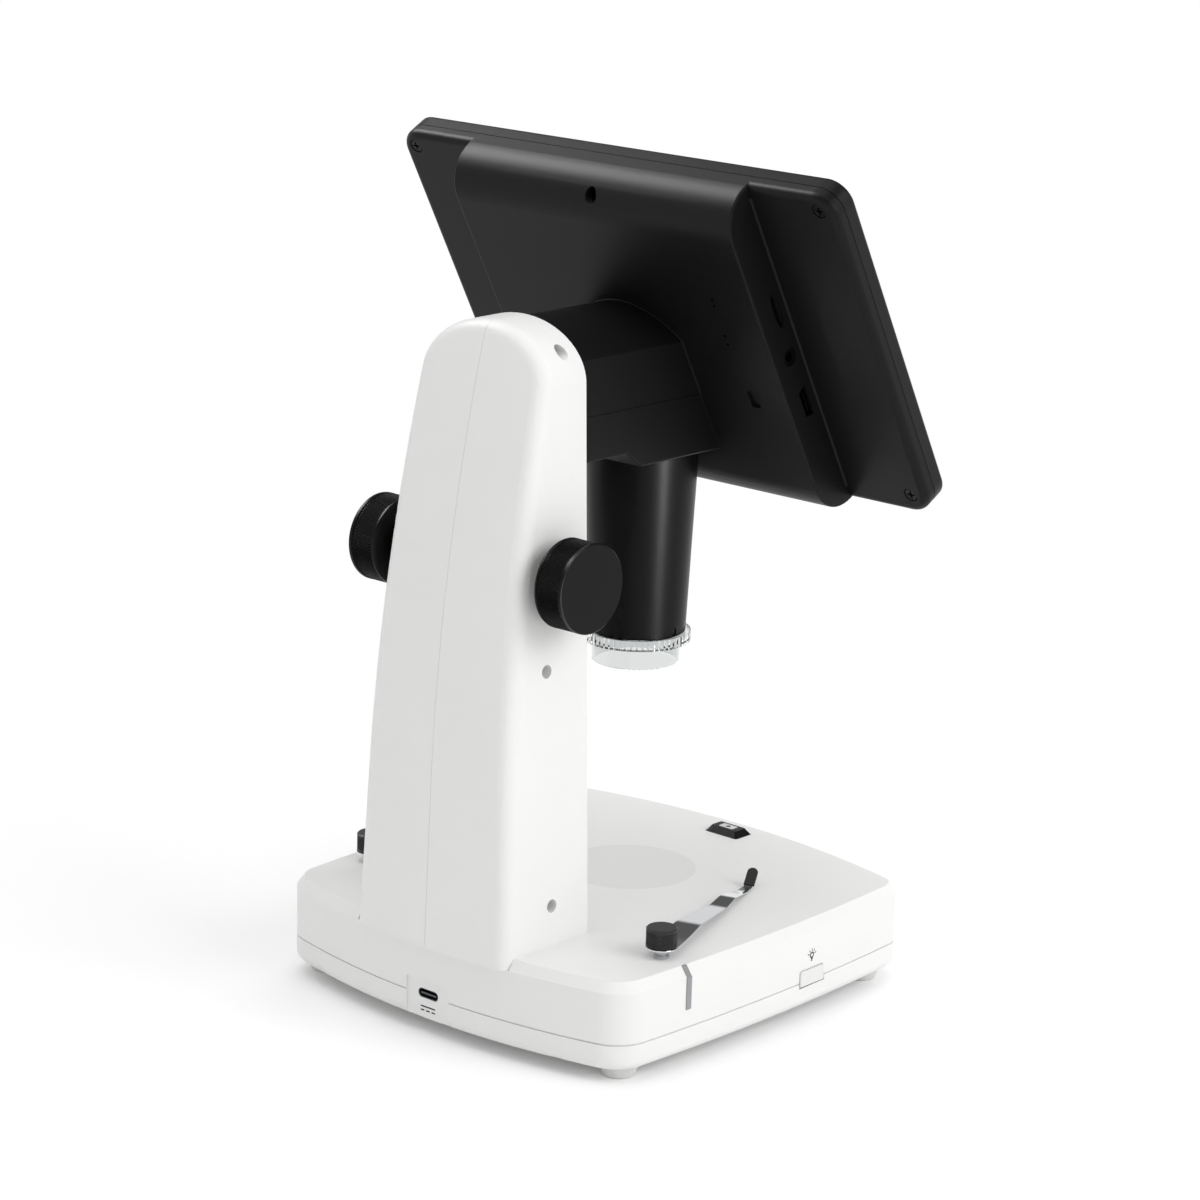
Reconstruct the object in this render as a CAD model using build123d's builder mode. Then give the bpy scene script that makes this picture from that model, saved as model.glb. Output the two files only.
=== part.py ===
from build123d import *
from math import acos, atan2, cos, degrees, pi, radians, sin, sqrt, tan
import os

# A desktop digital microscope with a fixed, tilted 7-inch screen.
# Millimetres. +Z is up, -Y is the user's side, +X is the user's right.
# The origin is on the table, under the middle of the base.

# ------------------------------------------------------------------ driving sizes
# Base
base_width = 156.4
base_depth = 163.8
end_bow = 270.0            # plan radius of the front and back walls
side_bow = 850.0           # plan radius of the side walls
front_corner = 10.0
back_corner = 13.0
foot_height = 4.3
foot_diameter = 10.9
foot_inset = 12.5          # from the widest walls to a foot's centre
lower_height = 9.3         # lower shell, underside to seam
upper_height = 20.2        # upper shell, seam to deck
lower_round = 3.4          # round along the lower shell's bottom edge
rim_drop = 3.3             # bevel round the deck
rim_run = 2.4
base_wall = 2.4
deck_thickness = 2.6
column_setback = 39.5      # from the middle of the back wall to the column's front
seam_height = 0.5          # shadow gap between shells
seam_depth = 0.6
base_screw_spread_x = 118.0
base_screw_spread_y = 96.0
pillar_radius = 4.0
column_front = base_depth / 2 - column_setback

# Stage
stage_y = -16.5            # stage centre and optical axis, from the base's middle
disc_diameter = 45.7
disc_thickness = 1.6
disc_ledge = 1.6
stage_button_length = 14.2
stage_button_width = 8.6
stage_button_y = 12.6 - base_depth / 2
stage_button_height = 2.1
stage_button_bevel = 1.6
button_gap = 0.2

# Side controls, on the user's left
lamp_button_length = 12.2
lamp_button_height = 5.3
lamp_button_y = -19.4
lamp_button_low = 12.1     # its lower edge, above the table
lamp_button_proud = 0.5
guide_slit_y = column_front
guide_slit_width = 2.2
guide_slit_low = 19.5      # its lower end, above the table
guide_slit_depth = 1.6

# USB-C inlet, at the seam in a flat pocket of the back wall
usb_width = 8.94
usb_height = 3.26
usb_length = 7.4
usb_wall = 0.35
pocket_width = 18.6
pocket_depth = 0.8
pocket_above_seam = 4.6

# Stage clips
clip_post_x = 65.0
clip_post_y = column_front - 0.3
clip_post_diameter = 5.3
clip_post_height = 3.2
clip_stud_diameter = 3.0
clip_aim = 72.6            # degrees from +X towards the user, left clip
clip_reach = 72.0          # post to where the strip meets the stage
clip_strip_thickness = 0.5
clip_root_width = 10.4
clip_tip_width = 4.2
clip_tip_rise = 6.3
clip_tip_run = 5.6
clip_bend_length = 13.0
clip_lift = 0.35           # strip's lowest point above the deck
thumb_diameter = 10.2
thumb_height = 6.4
tip_sleeve_length = 7.0
tip_sleeve_skin = 0.35

# Column
column_foot_width = 67.6
column_shoulder_width = 54.2
column_shoulder_rise = 180.0   # deck to the start of the arch
arch_rise = 18.6
column_overhang = 1.4          # foot of the back, beyond the base's wall
back_straight_rise = column_shoulder_rise - 131.1      # deck to where the back starts to curve
back_draft = 2.0               # degrees
back_curve = 680.0
back_edge_round = 5.0
column_wall = 2.4
column_screw_head = 4.4
low_screw = (column_front + 17.1, 13.3)         # Y, height over the deck
middle_screw = (column_front + 18.9, 91.0)
high_screw = (column_front + 6.8, column_shoulder_rise + 10.4)
column_screw_sites = (low_screw, middle_screw, high_screw)

# Focus drive
shaft_y = column_front + 16.5
shaft_rise = column_shoulder_rise - 59.5        # deck to the shaft's axis
shaft_diameter = 6.0
knob_diameter = 28.9
knob_thickness = 11.8
knob_face_x = 46.4         # outer face of a knob
knob_hub_diameter = 14.0
gear_module = 1.0
pinion_teeth = 12
pressure_angle = 25.0
tooth_backlash = 0.2
gear_width = 8.0
head_travel_down = 25.0
head_travel_up = 10.0
rod_diameter = 5.0
rod_spread = 38.0
rod_y = column_front + 8.2
running_gap = 0.05         # radial clearance of shafts and slides
slot_gap = 0.5

# Screen, on its own tilted plane
screen_tilt = 28.94        # degrees from vertical, top away from the user
screen_y = -27.96          # centre of the seam plane
screen_rise = column_shoulder_rise + 10.47      # deck to the same point
screen_width = 184.4
screen_height = 125.1
screen_corner = 8.0
bezel_depth = 5.7
wing_depth = 4.8
bulge_depth = 13.5
bulge_width = screen_width - 66.1
screen_wall = 2.2
display_width = screen_width - 30.4
display_height = screen_height - 38.5
display_lift = 6.95        # display centre above the screen's centre
key_count = 5
key_diameter = 7.6
key_pitch = 17.0
key_drop = screen_height / 2 - 12.0           # below the screen's centre
key_proud = 0.6

# Arm between column and screen
arm_width = 44.0
arm_gap = 0.6              # arm to column
arm_low_rise = column_shoulder_rise - 32.6      # underside under the camera
arm_seam_rise = arm_low_rise + 20.2             # deck to the parting line
arm_crease_rise = arm_low_rise + 38.7           # deck to the side's top edge
arm_crown = 10.9           # crease to apex
arm_step = 5.2             # the rear underside is this much higher
arm_step_start = 8.6       # Y where the step begins
arm_step_length = 7.1
arm_wall = 2.0
arm_blend = 0.4
arm_low_round = 0.8
arm_back_round = 0.7

# Camera
tube_low_rise = arm_low_rise - 62.8             # deck to the tube's lower end
tube_low_diameter = 33.0
tube_high_diameter = 38.2  # at the arm's underside
tube_wall = 1.5
wheel_low_rise = arm_low_rise - 38.1
wheel_height = 19.6
wheel_gap = 0.3
window_angle = 108.0
lens_diameter = 16.0
nose_ring_diameter = 36.6
nose_ring_height = 3.5
nose_teeth = 60
nose_cup_diameter = 29.8
nose_cup_height = 7.2
nose_wall = 1.2

# ------------------------------------------------------------------ shared places
seam_z = foot_height + lower_height
deck_z = seam_z + upper_height
base_floor_z = foot_height + base_wall          # top of the lower shell's floor
ceiling_z = deck_z - deck_thickness
stage_centre = (0, stage_y)


def write(shape, name):
    """Label a finished piece and save it under its own name."""
    shape.label = name
    export_step(shape, f"parts/{name}.step")


os.makedirs("parts", exist_ok=True)


# ------------------------------------------------------------------ base
def base_plan(inset):
    """Plan of the base: four bowed walls with round corners, drawn in by inset."""
    half_x = base_width / 2
    half_y = base_depth / 2
    with BuildSketch(mode=Mode.PRIVATE) as plan:
        with Locations((0, half_y - end_bow)):
            Circle(end_bow - inset)
        with Locations((0, end_bow - half_y)):
            Circle(end_bow - inset, mode=Mode.INTERSECT)
        with Locations((half_x - side_bow, 0)):
            Circle(side_bow - inset, mode=Mode.INTERSECT)
        with Locations((side_bow - half_x, 0)):
            Circle(side_bow - inset, mode=Mode.INTERSECT)
        corners = plan.vertices().sort_by(Axis.Y)
        fillet(corners[:2], max(front_corner - inset, 1.0))
        corners = [v for v in plan.vertices() if v.Y > 0]
        sharp = sorted(corners, key=lambda v: -abs(v.X) - abs(v.Y))[:2]
        fillet(sharp, back_corner - inset)
    return plan.sketch


feet_sites = [
    (x * (base_width / 2 - foot_inset), y * (base_depth / 2 - 1.6 * foot_inset))
    for x in (-1, 1)
    for y in (-1, 1)
]
pillar_sites = GridLocations(base_screw_spread_x, base_screw_spread_y, 2, 2)
lower_top_z = seam_z - seam_height

column_foot_z = deck_z - rim_drop - 0.2
column_back_y = base_depth / 2 + column_overhang
shoulder_z = deck_z + column_shoulder_rise
lean = (column_foot_width - column_shoulder_width) / 2 / column_shoulder_rise
column_foot_half = column_foot_width / 2 + lean * (deck_z - column_foot_z)


def column_form(inset):
    """Solid form of the column, tapering to a flat arch, drawn in by inset."""
    foot_half = column_foot_half - inset
    shoulder_half = column_shoulder_width / 2 - inset
    depth = column_back_y - column_front
    bend_z = deck_z + back_straight_rise
    bend_y = column_back_y - (bend_z - column_foot_z) * tan(radians(back_draft))
    with BuildPart(mode=Mode.PRIVATE) as form:
        with BuildSketch(Plane.XZ.offset(-column_front - inset)):
            with BuildLine():
                arch = EllipticalCenterArc(
                    (0, shoulder_z),
                    shoulder_half,
                    arch_rise - inset,
                    start_angle=0,
                    arc_size=180,
                )
                Polyline(
                    arch @ 1,
                    (-foot_half, column_foot_z),
                    (foot_half, column_foot_z),
                    arch @ 0,
                )
            make_face()
        extrude(amount=-depth - inset)
        with BuildSketch(Plane.YZ):
            with BuildLine():
                foot = Line(
                    (column_back_y - inset, column_foot_z), (bend_y - inset, bend_z)
                )
                back = JernArc(foot @ 1, foot % 1, back_curve, 16)
                Polyline(
                    back @ 1,
                    (column_front - 2, (back @ 1).Y),
                    (column_front - 2, column_foot_z),
                    foot @ 0,
                )
            make_face()
        spine = Axis((0, column_back_y - end_bow, 0), (0, 0, 1))
        revolve(axis=spine, revolution_arc=360, mode=Mode.INTERSECT)
    return form.part


def column_outside():
    """The column's skin, with its back edges rounded."""
    with BuildPart(mode=Mode.PRIVATE) as skin:
        add(column_form(0))
        back_edges = skin.edges().filter_by(
            lambda e: e.center().Y > column_front + 5
            and e.bounding_box().size.Z > arch_rise / 2
        )
        fillet(back_edges, back_edge_round)
    return skin.part


column_skin = column_outside()
foot_boss_sites = [
    (x * 28.5, y)
    for x in (-1, 1)
    for y in (column_front + 9.6, base_depth / 2 - 10.9)
]
disc_ledge_radius = disc_diameter / 2 - disc_ledge


# Openings that cross the base's seam: the inlet's pocket and the lamp button's window
usb_axis_z = seam_z
usb_mouth_y = base_depth / 2 - pocket_depth - 0.2
side_wall_x = -base_width / 2


def cut_seam_openings():
    """Cut the inlet's pocket and mouth and the lamp button's window."""
    with BuildSketch(Plane.XZ.offset(-base_depth / 2 + pocket_depth)) as pocket:
        with Locations((0, (foot_height + seam_z + pocket_above_seam) / 2)):
            Rectangle(pocket_width, lower_height + pocket_above_seam)
    extrude(pocket.sketch, amount=-2 * pocket_depth, mode=Mode.SUBTRACT)
    with BuildSketch(Plane.XZ.offset(-base_depth / 2)) as mouth:
        with Locations((0, usb_axis_z)):
            SlotOverall(usb_width, usb_height)
    extrude(mouth.sketch, amount=2 * base_wall, mode=Mode.SUBTRACT)
    with BuildSketch(Plane.YZ.offset(side_wall_x - 1)) as window:
        with Locations((lamp_button_y, lamp_button_low + lamp_button_height / 2)):
            RectangleRounded(
                lamp_button_length + 2 * button_gap,
                lamp_button_height + 2 * button_gap,
                0.8,
            )
    extrude(window.sketch, amount=base_wall + 2, mode=Mode.SUBTRACT)


# Lower shell: a tray with a rounded bottom edge and a stepped lip under the seam
board_thickness = 1.6
usb_board_top_z = usb_axis_z - usb_height / 2
usb_board_z = usb_board_top_z - board_thickness
usb_board_size = (48.0, 30.0)
usb_board_y = base_depth / 2 - base_wall - 1.0 - usb_board_size[1] / 2
board_post_spread = (40.0, 20.0)
screw_head_diameter = 5.6
screw_head_height = 1.8
screw_well = 2.6
base_screw_radius = 1.3

with BuildPart() as lower_shell:
    with BuildSketch(Plane.XY.offset(foot_height)):
        add(base_plan(0))
    extrude(amount=lower_height - seam_height)
    fillet(lower_shell.faces().sort_by(Axis.Z)[0].edges(), lower_round)
    with BuildSketch(Plane.XY.offset(lower_top_z)):
        add(base_plan(seam_depth))
    extrude(amount=seam_height)
    with BuildSketch(Plane.XY.offset(base_floor_z)):
        add(base_plan(base_wall))
    extrude(amount=lower_height, mode=Mode.SUBTRACT)
    with BuildSketch(Plane.XY.offset(foot_height)):
        with pillar_sites:
            Circle(pillar_radius)
    extrude(amount=lower_height - seam_height)
    with BuildSketch(Plane.XY.offset(base_floor_z)):
        with Locations((0, usb_board_y)):
            with GridLocations(*board_post_spread, 2, 2):
                Circle(2.2)
    extrude(amount=usb_board_z - base_floor_z)
    with Locations(Plane.XY.offset(foot_height)):
        with pillar_sites:
            CounterBoreHole(
                base_screw_radius, screw_head_diameter / 2 + 0.2, screw_well
            )
    cut_seam_openings()
write(lower_shell.part, "base_lower_shell")

# Upper shell: deck with a bevelled rim over upright walls
foot_screw_radius = 1.5
with BuildPart() as upper_shell:
    with BuildSketch(Plane.XY.offset(seam_z)):
        add(base_plan(0))
    extrude(amount=upper_height)
    rim = upper_shell.faces().sort_by(Axis.Z)[-1].edges()
    chamfer(rim, rim_drop, rim_run)
    with BuildSketch(Plane.XY.offset(seam_z)):
        add(base_plan(base_wall))
    extrude(amount=upper_height - deck_thickness, mode=Mode.SUBTRACT)
    # pad under the column's foot
    with BuildSketch(Plane.XY.offset(column_foot_z - column_wall)):
        with Locations((0, (column_front + column_back_y) / 2 - 1.5 * base_wall)):
            Rectangle(
                column_foot_width + 2 * base_wall,
                column_back_y - column_front - base_wall,
            )
    extrude(amount=column_wall + rim_drop / 2)
    with BuildSketch(Plane.XY.offset(lower_top_z)):
        with pillar_sites:
            Circle(pillar_radius)
    extrude(until=Until.NEXT)
    # socket of the column's foot, open to the back
    with BuildSketch(Plane.XZ.offset(-column_front)):
        with BuildLine():
            Polyline(
                (-column_foot_half, column_foot_z),
                (column_foot_half, column_foot_z),
                (column_foot_half - 10 * lean, column_foot_z + 10),
                (10 * lean - column_foot_half, column_foot_z + 10),
                close=True,
            )
        make_face()
    extrude(amount=column_front - base_depth, mode=Mode.SUBTRACT)
    with Locations(Plane.XY.offset(column_foot_z)):
        with Locations(*foot_boss_sites):
            Hole(foot_screw_radius)
    with BuildSketch(Plane.XY.offset(lower_top_z)):
        with pillar_sites:
            Circle(base_screw_radius)
    extrude(amount=12, mode=Mode.SUBTRACT)
    # seat of the stage disc
    with BuildSketch(Plane.XY.offset(deck_z - disc_thickness)):
        with Locations(stage_centre):
            Circle(disc_diameter / 2)
    extrude(amount=disc_thickness, mode=Mode.SUBTRACT)
    with BuildSketch(Plane.XY.offset(ceiling_z)):
        with Locations(stage_centre):
            Circle(disc_ledge_radius)
    extrude(amount=deck_thickness, mode=Mode.SUBTRACT)
    # stage button and clip posts
    with BuildSketch(Plane.XY.offset(ceiling_z)):
        with Locations((0, stage_button_y)):
            RectangleRounded(
                stage_button_length + 2 * button_gap,
                stage_button_width + 2 * button_gap,
                1.2,
            )
        with Locations((-clip_post_x, clip_post_y), (clip_post_x, clip_post_y)):
            Circle(clip_stud_diameter / 2)
    extrude(amount=deck_thickness, mode=Mode.SUBTRACT)
    # slit of the light guide, down the side wall from the deck's edge
    with BuildSketch(Plane.XZ.offset(-guide_slit_y)):
        with BuildLine():
            Polyline(
                (side_wall_x - 1, guide_slit_low),
                (side_wall_x + guide_slit_depth, guide_slit_low),
                (side_wall_x + guide_slit_depth, deck_z - rim_drop - 1),
                (side_wall_x + rim_run + guide_slit_depth, deck_z - guide_slit_depth),
                (side_wall_x + rim_run + guide_slit_depth, deck_z + 1),
                (side_wall_x - 1, deck_z + 1),
                close=True,
            )
        make_face()
    extrude(amount=guide_slit_width / 2, both=True, mode=Mode.SUBTRACT)
    cut_seam_openings()
write(upper_shell.part, "base_upper_shell")

# Feet, screws and what the base holds
with BuildPart() as feet:
    with BuildSketch(Plane.XY.offset(foot_height)):
        with Locations(*feet_sites):
            Circle(foot_diameter / 2 + 1.0)
    extrude(amount=-foot_height, taper=degrees(atan2(1.0, foot_height)))
write(feet.part, "base_feet")

base_screw_seat_z = foot_height + screw_well
with BuildPart() as base_screws:
    with BuildSketch(Plane.XY.offset(base_screw_seat_z)):
        with pillar_sites:
            Circle(screw_head_diameter / 2)
    extrude(amount=-screw_head_height)
    with BuildSketch(Plane.XY.offset(base_screw_seat_z)):
        with pillar_sites:
            Circle(base_screw_radius - running_gap)
    extrude(amount=lower_top_z + 10 - base_screw_seat_z)
write(base_screws.part, "base_screws")

ballast_size = (104.0, 62.0)
ballast_thickness = 6.0
ballast_y = -27.0
with BuildPart() as ballast:
    with BuildSketch(Plane.XY.offset(base_floor_z)):
        with Locations((0, ballast_y)):
            RectangleRounded(*ballast_size, 6.0)
    extrude(amount=ballast_thickness)
write(ballast.part, "ballast_plate")

with BuildPart() as power_board:
    with BuildSketch(Plane.XY.offset(usb_board_z)):
        with Locations((0, usb_board_y)):
            RectangleRounded(*usb_board_size, 1.5)
    extrude(amount=board_thickness)
    with BuildSketch(Plane.XY.offset(usb_board_top_z)):
        with Locations((-14, usb_board_y - 6)):
            Rectangle(9, 9)
        with Locations((14, usb_board_y - 2), (14, usb_board_y - 10)):
            Circle(3.0)
    extrude(amount=3.0)
write(power_board.part, "power_board")

with BuildPart() as usb_receptacle:
    with BuildSketch(Plane.XZ.offset(-usb_mouth_y)):
        with Locations((0, usb_axis_z)):
            SlotOverall(usb_width, usb_height)
    extrude(amount=usb_length)
    with BuildSketch(Plane.XZ.offset(-usb_mouth_y)):
        with Locations((0, usb_axis_z)):
            SlotOverall(usb_width - 2 * usb_wall, usb_height - 2 * usb_wall)
            Rectangle(usb_width * 0.74, 0.7, mode=Mode.SUBTRACT)
    extrude(amount=usb_length - 1.5, mode=Mode.SUBTRACT)
write(usb_receptacle.part, "usb_c_receptacle")

with BuildPart() as stage_disc:
    with BuildSketch(Plane.XY.offset(deck_z)):
        with Locations(stage_centre):
            Circle(disc_diameter / 2)
    extrude(amount=-disc_thickness)
write(stage_disc.part, "stage_disc")

lamp_board_drop = 6.0      # below the deck's underside
lamp_board_radius = disc_ledge_radius + 3.0
with BuildPart() as stage_lamp_board:
    with BuildSketch(Plane.XY.offset(ceiling_z - lamp_board_drop)):
        with Locations(stage_centre):
            Circle(lamp_board_radius)
    extrude(amount=-board_thickness)
    with BuildSketch(Plane.XY.offset(ceiling_z - lamp_board_drop)):
        with Locations(stage_centre):
            with PolarLocations(lamp_board_radius - 9.0, 6):
                Rectangle(3.2, 2.8)
            with PolarLocations(lamp_board_radius - 1.5, 3, start_angle=30):
                Circle(1.4)
    extrude(amount=1.2)
    with BuildSketch(Plane.XY.offset(ceiling_z - lamp_board_drop)):
        with Locations(stage_centre):
            with PolarLocations(lamp_board_radius - 1.5, 3, start_angle=30):
                Circle(1.4)
    extrude(amount=lamp_board_drop)
write(stage_lamp_board.part, "stage_lamp_board")

# Light guide: a clear bar that follows the side wall and the bevel
with BuildPart() as light_guide:
    with BuildSketch(Plane.XZ.offset(-guide_slit_y)):
        with BuildLine():
            Polyline(
                (side_wall_x + 0.7, guide_slit_low),
                (side_wall_x + guide_slit_depth, guide_slit_low),
                (side_wall_x + guide_slit_depth, deck_z - rim_drop - 1),
                (side_wall_x + rim_run + guide_slit_depth, deck_z - guide_slit_depth),
                (side_wall_x + rim_run + guide_slit_depth, deck_z - 0.2),
                (side_wall_x + rim_run + 0.7, deck_z - 0.2),
                (side_wall_x + 0.7, deck_z - rim_drop - 0.2),
                close=True,
            )
        make_face()
    extrude(amount=guide_slit_width / 2, both=True)
write(light_guide.part, "indicator_light_guide")

# Stage button: a bevelled cap with a collar under the deck
button_collar = 1.2
button_collar_height = 0.8
stage_button_travel = 0.8
with BuildPart() as stage_button:
    with BuildSketch(Plane.XY.offset(ceiling_z - button_collar_height)):
        with Locations((0, stage_button_y)):
            RectangleRounded(stage_button_length, stage_button_width, 1.0)
    extrude(amount=deck_thickness + button_collar_height)
    with BuildSketch(Plane.XY.offset(deck_z)):
        with Locations((0, stage_button_y)):
            RectangleRounded(stage_button_length, stage_button_width, 1.0)
    with BuildSketch(Plane.XY.offset(deck_z + stage_button_height)):
        with Locations((0, stage_button_y)):
            RectangleRounded(
                stage_button_length - 2 * stage_button_bevel,
                stage_button_width - 2 * stage_button_bevel,
                0.6,
            )
    loft()
    with BuildSketch(Plane.XY.offset(ceiling_z)):
        with Locations((0, stage_button_y)):
            Rectangle(
                stage_button_length + 2 * button_collar,
                stage_button_width + 2 * button_collar,
            )
    extrude(amount=-button_collar_height)
write(stage_button.part, "stage_button")

# Lamp button on the side wall, pushed inwards
lamp_button_travel = 0.8
lamp_button_face_x = side_wall_x - lamp_button_proud
lamp_button_z = lamp_button_low + lamp_button_height / 2
with BuildPart() as lamp_button:
    with BuildSketch(Plane.YZ.offset(lamp_button_face_x)):
        with Locations((lamp_button_y, lamp_button_z)):
            RectangleRounded(lamp_button_length, lamp_button_height, 0.7)
    extrude(amount=lamp_button_proud + base_wall + 2.0)
    fillet(lamp_button.faces().sort_by(Axis.X)[0].edges(), 0.3)
    with BuildSketch(Plane.YZ.offset(side_wall_x + base_wall + 0.8)):
        with Locations((lamp_button_y, lamp_button_z)):
            Rectangle(lamp_button_length + 2.0, lamp_button_height + 2.0)
    extrude(amount=1.2)
write(lamp_button.part, "lamp_button")

# ------------------------------------------------------------------ column
lower_bracket_height = 8.0
rod_high_z = shoulder_z - 0.8
shaft_z = deck_z + shaft_rise
rod_low_z = shaft_z - 50.3
bush_radius = 5.0
bush_flange_radius = 6.5
bush_flange = 1.2
column_screw_boss = 3.6
column_screw_depth = 9.0   # how far a shell screw's head sits below the side
neck_half_width = 14.0
clamp_x = 10.5
neck_height = 19.0
neck_low_z = deck_z + arm_low_rise + arm_step + 3.6
slot_half_width = neck_half_width + slot_gap
slot_low_z = neck_low_z - head_travel_down - slot_gap
slot_high_z = neck_low_z + neck_height + head_travel_up + slot_gap
seam_line = 0.12
shutter_half_width = 16.0


def side_x(height):
    """Half the column's width at a height over the deck, below the arch."""
    return column_foot_width / 2 - lean * height


def column_half(side):
    """One half shell: side is -1 for the user's left, 1 for the right."""
    with BuildPart(mode=Mode.PRIVATE) as half:
        add(column_skin)
        add(column_form(column_wall), mode=Mode.SUBTRACT)
        # bosses that take the shell screws and the foot screws
        for y, rise in column_screw_sites:
            with BuildSketch(Plane.YZ.offset(-column_foot_width / 2)):
                with Locations((y, deck_z + rise)):
                    Circle(column_screw_boss)
            extrude(amount=column_foot_width)
        with BuildSketch(Plane.XY.offset(column_foot_z)):
            with Locations(*foot_boss_sites):
                Circle(4.0)
        extrude(amount=14.0)
        add(column_skin, mode=Mode.INTERSECT)
        # vertical slot in the front wall for the head's neck
        with BuildSketch(Plane.XZ.offset(-column_front)):
            with Locations((0, (slot_low_z + slot_high_z) / 2)):
                Rectangle(2 * slot_half_width, slot_high_z - slot_low_z)
        extrude(amount=-column_wall, mode=Mode.SUBTRACT)
        # seats of the shaft bushes
        with BuildSketch(Plane.YZ.offset(-column_foot_width)):
            with Locations((shaft_y, shaft_z)):
                Circle(bush_radius)
        extrude(amount=2 * column_foot_width, mode=Mode.SUBTRACT)
        with BuildSketch(Plane.XY.offset(column_foot_z)):
            with Locations(*foot_boss_sites):
                Circle(1.25)
        extrude(amount=12.0, mode=Mode.SUBTRACT)
        for y, rise in column_screw_sites:
            head_x = screw_head_x(y, rise)
            with BuildSketch(Plane.YZ.offset(-column_foot_width)):
                with Locations((y, deck_z + rise)):
                    Circle(column_screw_head / 2)
            extrude(amount=column_foot_width + head_x, mode=Mode.SUBTRACT)
            with BuildSketch(Plane.YZ.offset(head_x)):
                with Locations((y, deck_z + rise)):
                    Circle(1.2)
            extrude(amount=-head_x + 10.0, mode=Mode.SUBTRACT)
        keep = Keep.TOP if side > 0 else Keep.BOTTOM
        split(bisect_by=Plane.YZ.offset(side * seam_line / 2), keep=keep)
    return half.part


def screw_head_x(y, rise):
    """Where a shell screw's head seats, below the skin at that height."""
    over = max(rise - column_shoulder_rise, 0) / arch_rise
    half = side_x(min(rise, column_shoulder_rise)) * sqrt(1 - over**2)
    return -half + column_screw_depth


column_left = column_half(-1)
column_right = column_half(1)
write(column_left, "column_left_shell")
write(column_right, "column_right_shell")

with BuildPart() as column_screws:
    for y, rise in column_screw_sites:
        head_x = screw_head_x(y, rise)
        with BuildSketch(Plane.YZ.offset(head_x)):
            with Locations((y, deck_z + rise)):
                Circle(column_screw_head / 2 - 0.1)
        extrude(amount=-1.6)
        with BuildSketch(Plane.YZ.offset(head_x)):
            with Locations((y, deck_z + rise)):
                Circle(1.15)
        extrude(amount=-head_x + 8.0)
write(column_screws.part, "column_screws")

with BuildPart() as foot_screws:
    with BuildSketch(Plane.XY.offset(column_foot_z - column_wall)):
        with Locations(*foot_boss_sites):
            Circle(screw_head_diameter / 2)
    extrude(amount=-screw_head_height)
    with BuildSketch(Plane.XY.offset(column_foot_z - column_wall)):
        with Locations(*foot_boss_sites):
            Circle(1.2)
    extrude(amount=column_wall + 10.0)
write(foot_screws.part, "column_foot_screws")

# Guide rods and their brackets, inside the column behind the front wall
inside_front_y = column_front + column_wall
bracket_depth = 11.2
with BuildPart() as guide_rods:
    with BuildSketch(Plane.XY.offset(rod_low_z)):
        with Locations((-rod_spread / 2, rod_y), (rod_spread / 2, rod_y)):
            Circle(rod_diameter / 2)
    extrude(amount=rod_high_z - rod_low_z)
write(guide_rods.part, "guide_rods")

bracket_y = inside_front_y + bracket_depth / 2
upper_bracket_height = 6.0
with BuildPart() as guide_brackets:
    with BuildSketch(Plane.XY.offset(rod_low_z)):
        with Locations((0, bracket_y)):
            Rectangle(rod_spread + 12, bracket_depth)
        with Locations((-rod_spread / 2, rod_y), (rod_spread / 2, rod_y)):
            Circle(rod_diameter / 2, mode=Mode.SUBTRACT)
    extrude(amount=lower_bracket_height)
    # the upper one is a fork, open where the neck rises
    with BuildSketch(Plane.XY.offset(rod_high_z)):
        with Locations((0, bracket_y)):
            Rectangle(rod_spread + 10, bracket_depth)
        with Locations((0, bracket_y - 3.0)):
            Rectangle(2 * slot_half_width + 0.6, bracket_depth, mode=Mode.SUBTRACT)
        with Locations((0, inside_front_y)):
            Rectangle(2 * shutter_half_width + 0.8, 3.2, mode=Mode.SUBTRACT)
        with Locations((-rod_spread / 2, rod_y), (rod_spread / 2, rod_y)):
            Circle(rod_diameter / 2, mode=Mode.SUBTRACT)
    extrude(amount=-upper_bracket_height)
write(guide_brackets.part, "guide_brackets")

# Flanged bushes that carry the focus shaft in the column's walls
bush_inner_x = side_x(shaft_rise) - column_wall - 1.5
bush_outer_x = side_x(shaft_rise) + 1.0
with BuildPart() as shaft_bushes:
    for side in (-1, 1):
        with BuildSketch(Plane.YZ.offset(side * bush_inner_x)):
            with Locations((shaft_y, shaft_z)):
                Circle(bush_radius)
        extrude(amount=side * (bush_outer_x - bush_inner_x))
        with BuildSketch(Plane.YZ.offset(side * bush_outer_x)):
            with Locations((shaft_y, shaft_z)):
                Circle(bush_flange_radius)
        extrude(amount=side * bush_flange)
    with BuildSketch(Plane.YZ.offset(-column_foot_width)):
        with Locations((shaft_y, shaft_z)):
            Circle(shaft_diameter / 2 + running_gap)
    extrude(amount=2 * column_foot_width, mode=Mode.SUBTRACT)
write(shaft_bushes.part, "shaft_bushes")

# ------------------------------------------------------------------ focus drive
def involute(angle):
    """Involute function of an angle in radians."""
    return tan(angle) - angle


pitch_radius = gear_module * pinion_teeth / 2
base_circle = pitch_radius * cos(radians(pressure_angle))
tooth_addendum = 0.9 * gear_module
tooth_dedendum = 1.15 * gear_module
tooth_thickness = pi * gear_module / 2 - tooth_backlash / 2
rack_pitch_y = shaft_y - pitch_radius


def flank_angle(radius):
    """Half the angle a pinion tooth fills at a radius."""
    here = 0 if radius < base_circle else involute(acos(base_circle / radius))
    return tooth_thickness / 2 / pitch_radius + involute(radians(pressure_angle)) - here


def tooth_point(radius, side):
    """Point on one flank of a pinion tooth that looks along +X."""
    angle = side * flank_angle(radius)
    return (radius * cos(angle), radius * sin(angle))


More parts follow.
